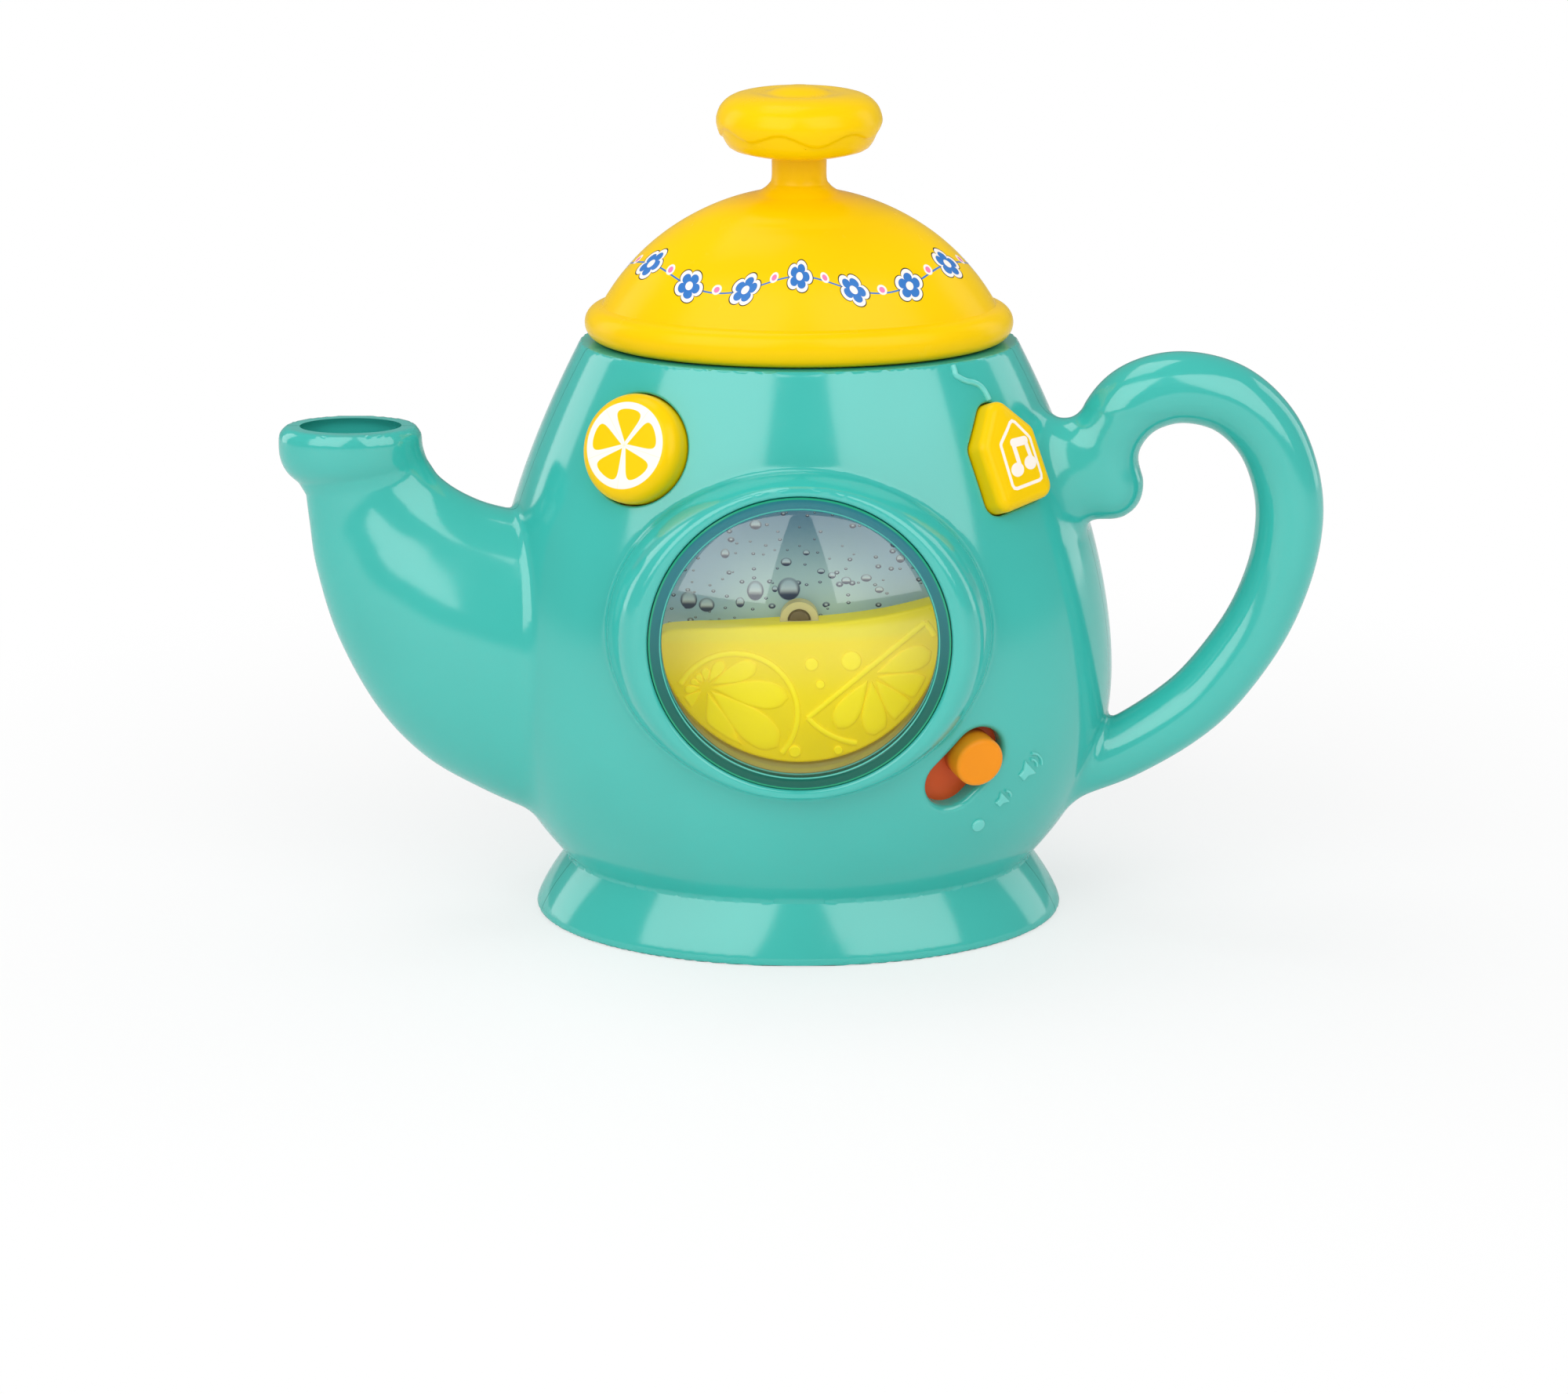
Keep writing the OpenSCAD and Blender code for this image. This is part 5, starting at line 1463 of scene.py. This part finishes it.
def buildPin():
    # a turned pin with a slightly domed end
    low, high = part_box("pivot_pin")
    radius = (high[0] - low[0]) / 2 / mm
    back, front = -high[1] / mm, -wave["frontY"] - wave["hubBack"] + 0.5
    wide = min(radius, wave["pinFlange"])
    outline = [(0.0, back), (wide, back), (wide, front - 0.6), (wide - 0.18, front - 0.2),
               (wide - 0.6, front), (1.0, front + 0.1), (0.0, front + 0.12)]
    piece = newPiece("hubPin", moved(latheMesh(smoothRows(outline, 4), 64), atWindow()))
    print("   pin", [round(v / mm, 2) for v in low], [round(v / mm, 2) for v in high])
    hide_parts("pivot_pin")
    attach(piece, "wave")
    return piece


wavePlate = buildWave()
hubPin = buildPin()
print("wave plate done")
lidDome = buildLidDome()
lidKnob = buildKnob()
print("lid and knob done")

# materials

inks = {
    "teal": (60, 187, 176),
    "yellow": (252, 206, 2),
    "orange": (249, 150, 26),
    "white": (255, 244, 234),
    "blue": (60, 122, 196),
    "black": (24, 22, 24),
    "pink": (240, 130, 180),
}
inks = {name: linear(*row) for name, row in inks.items()}
moulded = {
    "cloudScale": 22.0,
    "shadeBy": 0.94,
    "ripple": 0.00009,  # metres, the mould's soft waviness
    "rippleScale": 26.0,
    "grain": 0.000008,
    "grainScale": 1500.0,
    "rubScale": 130.0,
    "windowGlow": 0.27,  # painted light: the glow of the wave and the drops, since little light reaches the closed window
}


def dressPlastic(name, colour, roughness, overprint=None, specular=0.5, glow=0.0):
    paint = Paint(name)
    here = paint.place()
    cloud = paint.noise(moulded["cloudScale"], 2.0, here).between(0.3, 0.7)
    grain = paint.noise(moulded["grainScale"], 2.0, here)
    rub = paint.noise(moulded["rubScale"], 4.0, here, 0.65).between(0.55, 0.75)
    skin = paint.mix(cloud, colour, [c * moulded["shadeBy"] for c in colour[:3]] + [1.0])
    if overprint:
        skin = overprint(paint, here, skin)
    soft = paint.bump(paint.noise(moulded["rippleScale"], 1.0, here), moulded["ripple"], 1.0)
    return paint.finish(paint.surface(
        Base_Color=skin, Roughness=rub * 0.06 + grain * 0.03 + roughness, Specular_IOR_Level=specular,
        Emission_Color=skin, Emission_Strength=glow,
        Normal=paint.bump(grain, moulded["grain"], 0.5, soft)))


def seamInk(paint, here, skin):
    # the joint line between the shells
    line = paint.fill((paint.spot(here)[1] - body["seamY"]).size() - 0.16, 0.1)
    return paint.mix(line * 0.55, skin, linear(18, 120, 110))


lemonPrint = {
    "disc": 9.95,
    "place": (-0.28, 0.23),
    "petals": (90, 25, -50, -120, 170),  # degrees
    "start": 0.75,
    "end": 8.35,
    "spread": 4.3,
}


def lemonInk(paint, here, skin):
    u, v = paint.flat(here, lemonAt)
    u, v = u - lemonPrint["place"][0], v - lemonPrint["place"][1]
    nearest, start = None, lemonPrint["start"]
    for turn in lemonPrint["petals"]:
        c, s = math.cos(math.radians(turn)), math.sin(math.radians(turn))
        share = ((u * c + v * s - start) * (1 / (lemonPrint["end"] - start))).most(0.0)
        wide = share * (1 - share.least(1.0) ** 7.0).root() * lemonPrint["spread"]
        edge = (v * c - u * s).size() - wide + (share > 1.0) * 9.0
        nearest = edge if nearest is None else nearest.least(edge)
    white = paint.fill(paint.reach(u, v) - lemonPrint["disc"], 0.07) * (1 - paint.fill(nearest, 0.08))
    return paint.mix(white, skin, inks["white"])


tagPrint = {
    "frame": [(2.13, 7.5), (5.7, 1.9), (5.45, -8.0), (-4.1, -7.8), (-3.7, 2.9)],
    "stroke": 0.38,
    "rounding": 1.1,
    "heads": [(-1.19, -3.85), (3.29, -3.41)],
    "head": (1.95, 1.6),
    "strokes": [((-0.1, 2.5), (-0.2, -3.7), 0.6), ((3.75, 2.1), (4.0, -3.3), 0.6),
                ((0.1, 2.2), (3.7, 1.8), 1.0)],
}


def tagInk(paint, here, skin):
    u, v = paint.flat(here, tagAt)
    corners = roundedOutline(tagPrint["frame"], tagPrint["rounding"], 0, 2)
    nearest = None
    for i, corner in enumerate(corners):
        edge = paint.toSegment(u, v, corners[i - 1], corner) - tagPrint["stroke"]
        nearest = edge if nearest is None else nearest.least(edge)
    for first, last, half in tagPrint["strokes"]:
        nearest = nearest.least(paint.toSegment(u, v, first, last) - half)
    for x, y in tagPrint["heads"]:
        away = paint.reach((u - x) * (1 / tagPrint["head"][0]), (v - y) * (1 / tagPrint["head"][1]))
        nearest = nearest.least((away - 1.0) * tagPrint["head"][1])
    return paint.mix(paint.fill(nearest, 0.07), skin, inks["white"])


garland = {
    "count": 15,
    "middle": 157.5,
    "sway": 2.0,
    "sways": 5,
    "rise": 1.3,
    "radius": 39.5,
    "blossom": 4.3,
    "line": 0.22,
    "dot": (1.35, 0.8),
    "heart": 1.1,
}


def garlandInk(paint, here, skin):
    # a wreath of blossoms and dots all round the dome
    x, y, z = paint.axes(here)
    turn = x.angleTo(-y)
    step = 2 * math.pi / garland["count"]
    cell = (turn * (1 / step) + 0.5).floor()
    u = (turn - cell * step) * garland["radius"]
    height = z * (1 / mm) - garland["middle"] - (turn * garland["sways"]).cosine() * garland["sway"]
    v = height * garland["rise"]
    away = paint.reach(u, v)
    around = v.angleTo(u)
    leafed = (around * 2.5).cosine().size().root() * 0.34 + 0.66
    shape = away - leafed * garland["blossom"]
    skin = paint.mix(paint.fill(v.size() - garland["line"], 0.08), skin, inks["blue"])
    dotted = paint.reach(u.size() - step * garland["radius"] / 2, v - 0.9)
    for radius, ink in zip(garland["dot"], ("white", "pink")):
        skin = paint.mix(paint.fill(dotted - radius, 0.08), skin, inks[ink])
    for grow, ink in ((0.28, "black"), (0.0, "white"), (-0.95, "blue")):
        skin = paint.mix(paint.fill(shape - grow, 0.08), skin, inks[ink])
    return paint.mix(paint.fill(away - garland["heart"], 0.08), skin, inks["white"])


def slotPaintedShade(paint, here, skin):
    # painted shade: deep in the slot the orange plate is painted red-brown, as it looks in the slot's shade
    depth = paint.along(here, tuple(slotAt.to_3x3().col[2]), tuple(slotAt.translation)) * (1 / mm)
    return paint.mix(1 - depth.between(-4.0, -1.5), skin, linear(214, 88, 40))


def waveInk(paint, here, skin):
    # pale band along the surface, brown hub behind it
    x, y, z = paint.spot(here)
    top = (z - x.most(0.0) * 0.06).between(-5.4, -2.6)
    skin = paint.mix(top * 0.5, skin, linear(226, 214, 60))
    skin = paint.mix(paint.noise(60.0, 2.0, here) * 0.25, skin, linear(205, 186, 12))
    hub = paint.fill(paint.reach(x, z) - wave["hub"] - 0.1, 0.1) * (y > wave["frontY"] + 2.5)
    relief = 1 - (y - wave["frontY"]).between(-wave["relief"], -0.05)
    skin = paint.mix(relief * 0.55, skin, linear(252, 232, 24))
    return paint.mix(hub, skin, linear(196, 184, 122))


teal = dressPlastic("tealPlastic", inks["teal"], 0.1, seamInk, 0.8)
# painted highlight: the raised signs and string get a paler teal than the shell they are moulded in, for the
# light they catch
tealReliefHighlight = dressPlastic("tealReliefHighlight", linear(100, 210, 200), 0.12, None, 0.9)
tealBase = dressPlastic("tealBasePlastic", linear(50, 180, 169), 0.2, None, 0.8)
lidYellow = dressPlastic("lidYellow", inks["yellow"], 0.22, garlandInk, 0.1)
yellow = dressPlastic("yellowPlastic", inks["yellow"], 0.22, None, 0.1)
lemonYellow = dressPlastic("lemonYellow", inks["yellow"], 0.22, lemonInk, 0.12)
tagYellow = dressPlastic("tagYellow", inks["yellow"], 0.22, tagInk, 0.12)
orange = dressPlastic("orangePlastic", inks["orange"], 0.22, slotPaintedShade, 0.15)
# painted light: the wave glows a little, since little light reaches the closed window
waveYellow = dressPlastic("waveYellow", linear(240, 212, 4), 0.3, waveInk, 0.1, moulded["windowGlow"])
print("main materials done")


lensLook = {
    "index": 1.68,
    "rimStart": 30.9,
    "rimEnd": 31.25,
    "rimShare": 0.9,
    # rings: radius, half width, softness and colour; the first is a painted highlight line, the second a
    # painted shadow line
    "rings": [(31.35, 0.14, 0.1, (96, 208, 190)), (33.8, 0.2, 0.15, (34, 168, 124))],
}


def dressLens():
    # a clear dome whose rim is seen edge on; the rim's colour is painted as the teal frame seen through it,
    # darker towards the bottom, with a painted highlight line and a painted shadow line
    paint = Paint("clearLens")
    x, _, z = paint.spot()
    away = paint.reach(x, z)
    grain = paint.noise(700.0, 2.0)
    outer = 1 - paint.node("ShaderNodeNewGeometry", output="Backfacing")
    bend = paint.node("ShaderNodeFresnel", {}, {"IOR": lensLook["index"]}) * outer
    clear = paint.node("ShaderNodeBsdfTransparent", {}, {"Color": (0.97, 0.99, 1.0, 1)})
    gloss = paint.surface(Base_Color=(1, 1, 1, 1), Metallic=1.0, Roughness=grain * 0.02 + 0.03)
    dome = paint.blend(bend * (z.between(-11.0, 1.0) * 0.7 + 0.3), clear, gloss)
    # painted: the teal frame seen through the clear rim, darker towards the bottom
    paintedRimLightAndShade = paint.mix(paint.fill(z, 26.0), linear(38, 120, 132), linear(14, 98, 84))
    # a painted highlight line at the dome's foot and a painted shadow line in the gap at the edge
    for radius, half, soft, colour in lensLook["rings"]:
        paintedRimLightAndShade = paint.mix(paint.fill((away - radius).size() - half, soft), paintedRimLightAndShade, linear(*colour))
    ring = paint.surface(Base_Color=paintedRimLightAndShade, Roughness=0.12, Specular_IOR_Level=0.3)
    share = away.between(lensLook["rimStart"], lensLook["rimEnd"]) * lensLook["rimShare"]
    return paint.finish(paint.blend(share, dome, ring))


drops = {
    # x and height from the window's middle, half width, half height
    "large": [(-2.4, 6.2, 2.3, 2.4), (-10.1, 5.8, 1.7, 2.1), (-25.4, 3.6, 1.7, 1.9), (-10.0, 21.4, 1.2, 1.0),
              (-21.3, 2.4, 1.6, 1.5), (-13.6, 3.0, 0.9, 1.1), (-3.0, 12.6, 1.1, 0.9), (10.8, 8.2, 1.0, 0.8),
              (15.4, 8.8, 1.1, 0.8), (5.0, 10.4, 0.8, 0.6), (7.5, 9.4, 0.8, 0.7), (23.2, 13.4, 0.9, 0.9),
              (-17.0, 14.6, 0.9, 1.0), (1.6, 14.8, 0.7, 0.6), (-5.6, 6.2, 0.6, 0.7), (18.4, 6.0, 0.9, 0.7)],
    "grow": 1.12,
    "smallCell": 3.1,
}


def dressDroplets():
    paint = Paint("dropletPrint")
    here = paint.place()
    x, _, z = paint.spot(here)
    back = paint.mix(z.between(4.0, 28.0), linear(172, 202, 196), linear(62, 130, 160))
    back = paint.mix(x.size().between(6.0, 26.0) * 0.7, back, linear(138, 176, 200))
    back = paint.mix(paint.noise(900.0, 3.0, here) * 0.08, back, linear(210, 220, 220))
    flat = paint.node("ShaderNodeCombineXYZ", {}, {0: x, 1: z, 2: 0.0})
    cells = paint.node("ShaderNodeTexVoronoi", {"voronoi_dimensions": "2D"},
                       {"Vector": flat, "Scale": 1 / drops["smallCell"]}).socket.node
    chance = paint.axes(Value(paint, cells.outputs["Color"]))
    centre = paint.axes(Value(paint, cells.outputs["Position"]))
    radius = (chance[0] ** 2.5) * 0.55 + 0.3
    dropRows = [(x - centre[0], z - centre[1], radius, radius * 0.8, chance[1] > 0.25)]
    grow = drops["grow"]
    dropRows += [(x - dx, z - dz, wide * grow, tall * grow, None) for dx, dz, wide, tall in drops["large"]]
    for du, dv, wide, tall, seen in dropRows:
        across, up = du / wide, dv / tall
        away = paint.reach(across, up)
        inside = paint.fill(away - 1.0, 0.07)
        rim = away.between(0.6, 0.95) if seen is None else away.between(0.15, 0.6)
        lower = 1 - up.between(-0.55, 0.1)
        dark = rim.most(lower) * (1 - up.between(-0.2, 1.0) * 0.55)
        if seen is not None:
            inside = inside * seen
        pale = paint.mix(up.between(-0.6, 0.7), linear(214, 224, 220), linear(170, 194, 200))
        back = paint.mix(inside, back, paint.mix(dark, pale, linear(26, 48, 78)))
    grain = paint.noise(900.0, 2.0, here)
    # painted light: the print glows a little, since little light reaches the closed window
    return paint.finish(paint.surface(
        Base_Color=back, Roughness=grain * 0.1 + 0.4, Emission_Color=back,
        Emission_Strength=moulded["windowGlow"] * 0.35, Normal=paint.bump(grain, 0.00001, 0.3)))


def drumPaintedShade(paint, here, skin):
    # painted shade and painted reflected colour: the white wall is darkened towards the colours of what
    # stands before it
    x, y, z = paint.spot(here)
    before, low = paint.fill(y + 38.0, 2.0), paint.fill(z - x * 0.1, 3.0)
    return paint.mix(before * 0.85, skin, paint.mix(low, linear(96, 138, 148), linear(150, 142, 40)))


def dressMetal(name, colour):
    # plated steel with fine brushing and dull spots
    paint = Paint(name)
    here = paint.place()
    brushed = paint.noise(2400.0, 2.0, here)
    dull = paint.noise(220.0, 3.0, here).between(0.45, 0.7)
    return paint.finish(paint.surface(
        Base_Color=paint.mix(dull * 0.5, colour, [c * 0.7 for c in colour[:3]] + [1.0]), Metallic=1.0,
        Roughness=dull * 0.2 + 0.25, Normal=paint.bump(brushed, 0.00001, 0.4)))


def dressMatt(name, colour, roughness=0.5, scale=700.0, depth=0.00003):
    # moulded, coated or pressed matter with a visible grain
    paint = Paint(name)
    here = paint.place()
    grain = paint.noise(scale, 4.0, here, 0.6)
    patches = paint.noise(scale / 12, 2.0, here).between(0.35, 0.7)
    return paint.finish(paint.surface(
        Base_Color=paint.mix(patches * 0.6 + grain * 0.3, colour, [c * 0.82 for c in colour[:3]] + [1.0]),
        Roughness=grain * 0.15 + roughness, Normal=paint.bump(grain, depth, 0.5)))


def boardInk(paint, here, skin):
    # faint tracks under the solder mask
    lines = (paint.spot(here)[0] * 2.1).sine().size().between(0.8, 0.95)
    tracks = lines * paint.noise(90.0, 1.0, here).between(0.45, 0.5)
    return paint.mix(tracks * 0.5, skin, linear(60, 140, 80))


def cellInk(paint, here, skin):
    # a gold end band on the sleeve of each cell
    return paint.mix(paint.spot(here)[0].size() > 15.5, skin, linear(196, 160, 84))


def dressClear(name, colour):
    paint = Paint(name)
    grain = paint.noise(900.0, 2.0)
    return paint.finish(paint.surface(
        Base_Color=colour, Roughness=grain * 0.05 + 0.08, Transmission_Weight=0.7, IOR=1.5,
        Normal=paint.bump(grain, 0.000004, 0.3)))


looks = [
    # a material, and the nodes that show their CAD forms in it
    (dressPlastic("whitePlastic", linear(240, 242, 238), 0.3, drumPaintedShade, 0.3), ["window_drum"]),
    (dressDroplets(), ["droplet_panel"]),
    (dressMetal("zincSteel", linear(190, 192, 198)),
     ["lid_screw", "door_screw", "shell_screws", "base_screws", "drum_screws", "board_screws",
      "speaker_screws"]),
    (dressMetal("nickelSteel", linear(204, 202, 196)),
     ["contact_plates", "contact_springs", "speaker_frame"]),
    (dressPlastic("cellSleeve", linear(40, 68, 132), 0.3, cellInk), ["batteries"]),
    (dressPlastic("boardMask", linear(28, 104, 62), 0.35, boardInk),
     ["light_board", "lemon_board", "teabag_board", "switch_board", "main_board"]),
    (dressClear("diodeClear", linear(242, 242, 230)), ["light_diode"]),
    (dressMatt("domeRubber", linear(58, 58, 60), 0.7, 500.0), ["lemon_dome", "teabag_dome"]),
    (dressMatt("blackPlastic", linear(28, 28, 30), 0.5), ["slide_switch", "sound_chip", "speaker_magnet"]),
    (dressMatt("conePaper", linear(44, 44, 48), 0.85, 300.0, 0.0001), ["speaker_cone"]),
    (teal, ["top_well"]),
    (tealBase, ["base_plate", "battery_door"]),
    (yellow, ["lid_liner"]),
]
dressed = set()
for material, names in looks:
    for name in names:
        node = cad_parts[name]
        node.data.materials.clear()
        node.data.materials.append(material)
        dressed.add(name)
brown = dressMatt("brownPlastic", linear(112, 92, 34), 0.4, 900.0, 0.00001)
finished = [
    # a piece, the slot that it stands for, and its materials
    (frontShell, "teal_shell", teal, tealReliefHighlight),
    (rearShell, "teal_shell", teal),
    (clearLens, "lens_clear", dressLens()),
    (lemonButton, "yellow_gloss", lemonYellow),
    (tagButton, "yellow_gloss", tagYellow),
    (volumePeg, "orange_gloss", orange),
    (wavePlate, "wave_clear_yellow", waveYellow),
    (hubPin, "brown_plastic", brown),
    (lidDome, "yellow_gloss", lidYellow),
    (lidKnob, "yellow_gloss", yellow),
]
for piece, slotName, *materials in finished:
    for material in materials:
        piece.data.materials.append(material)
print("nodes without a look:", sorted(set(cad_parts) - dressed))
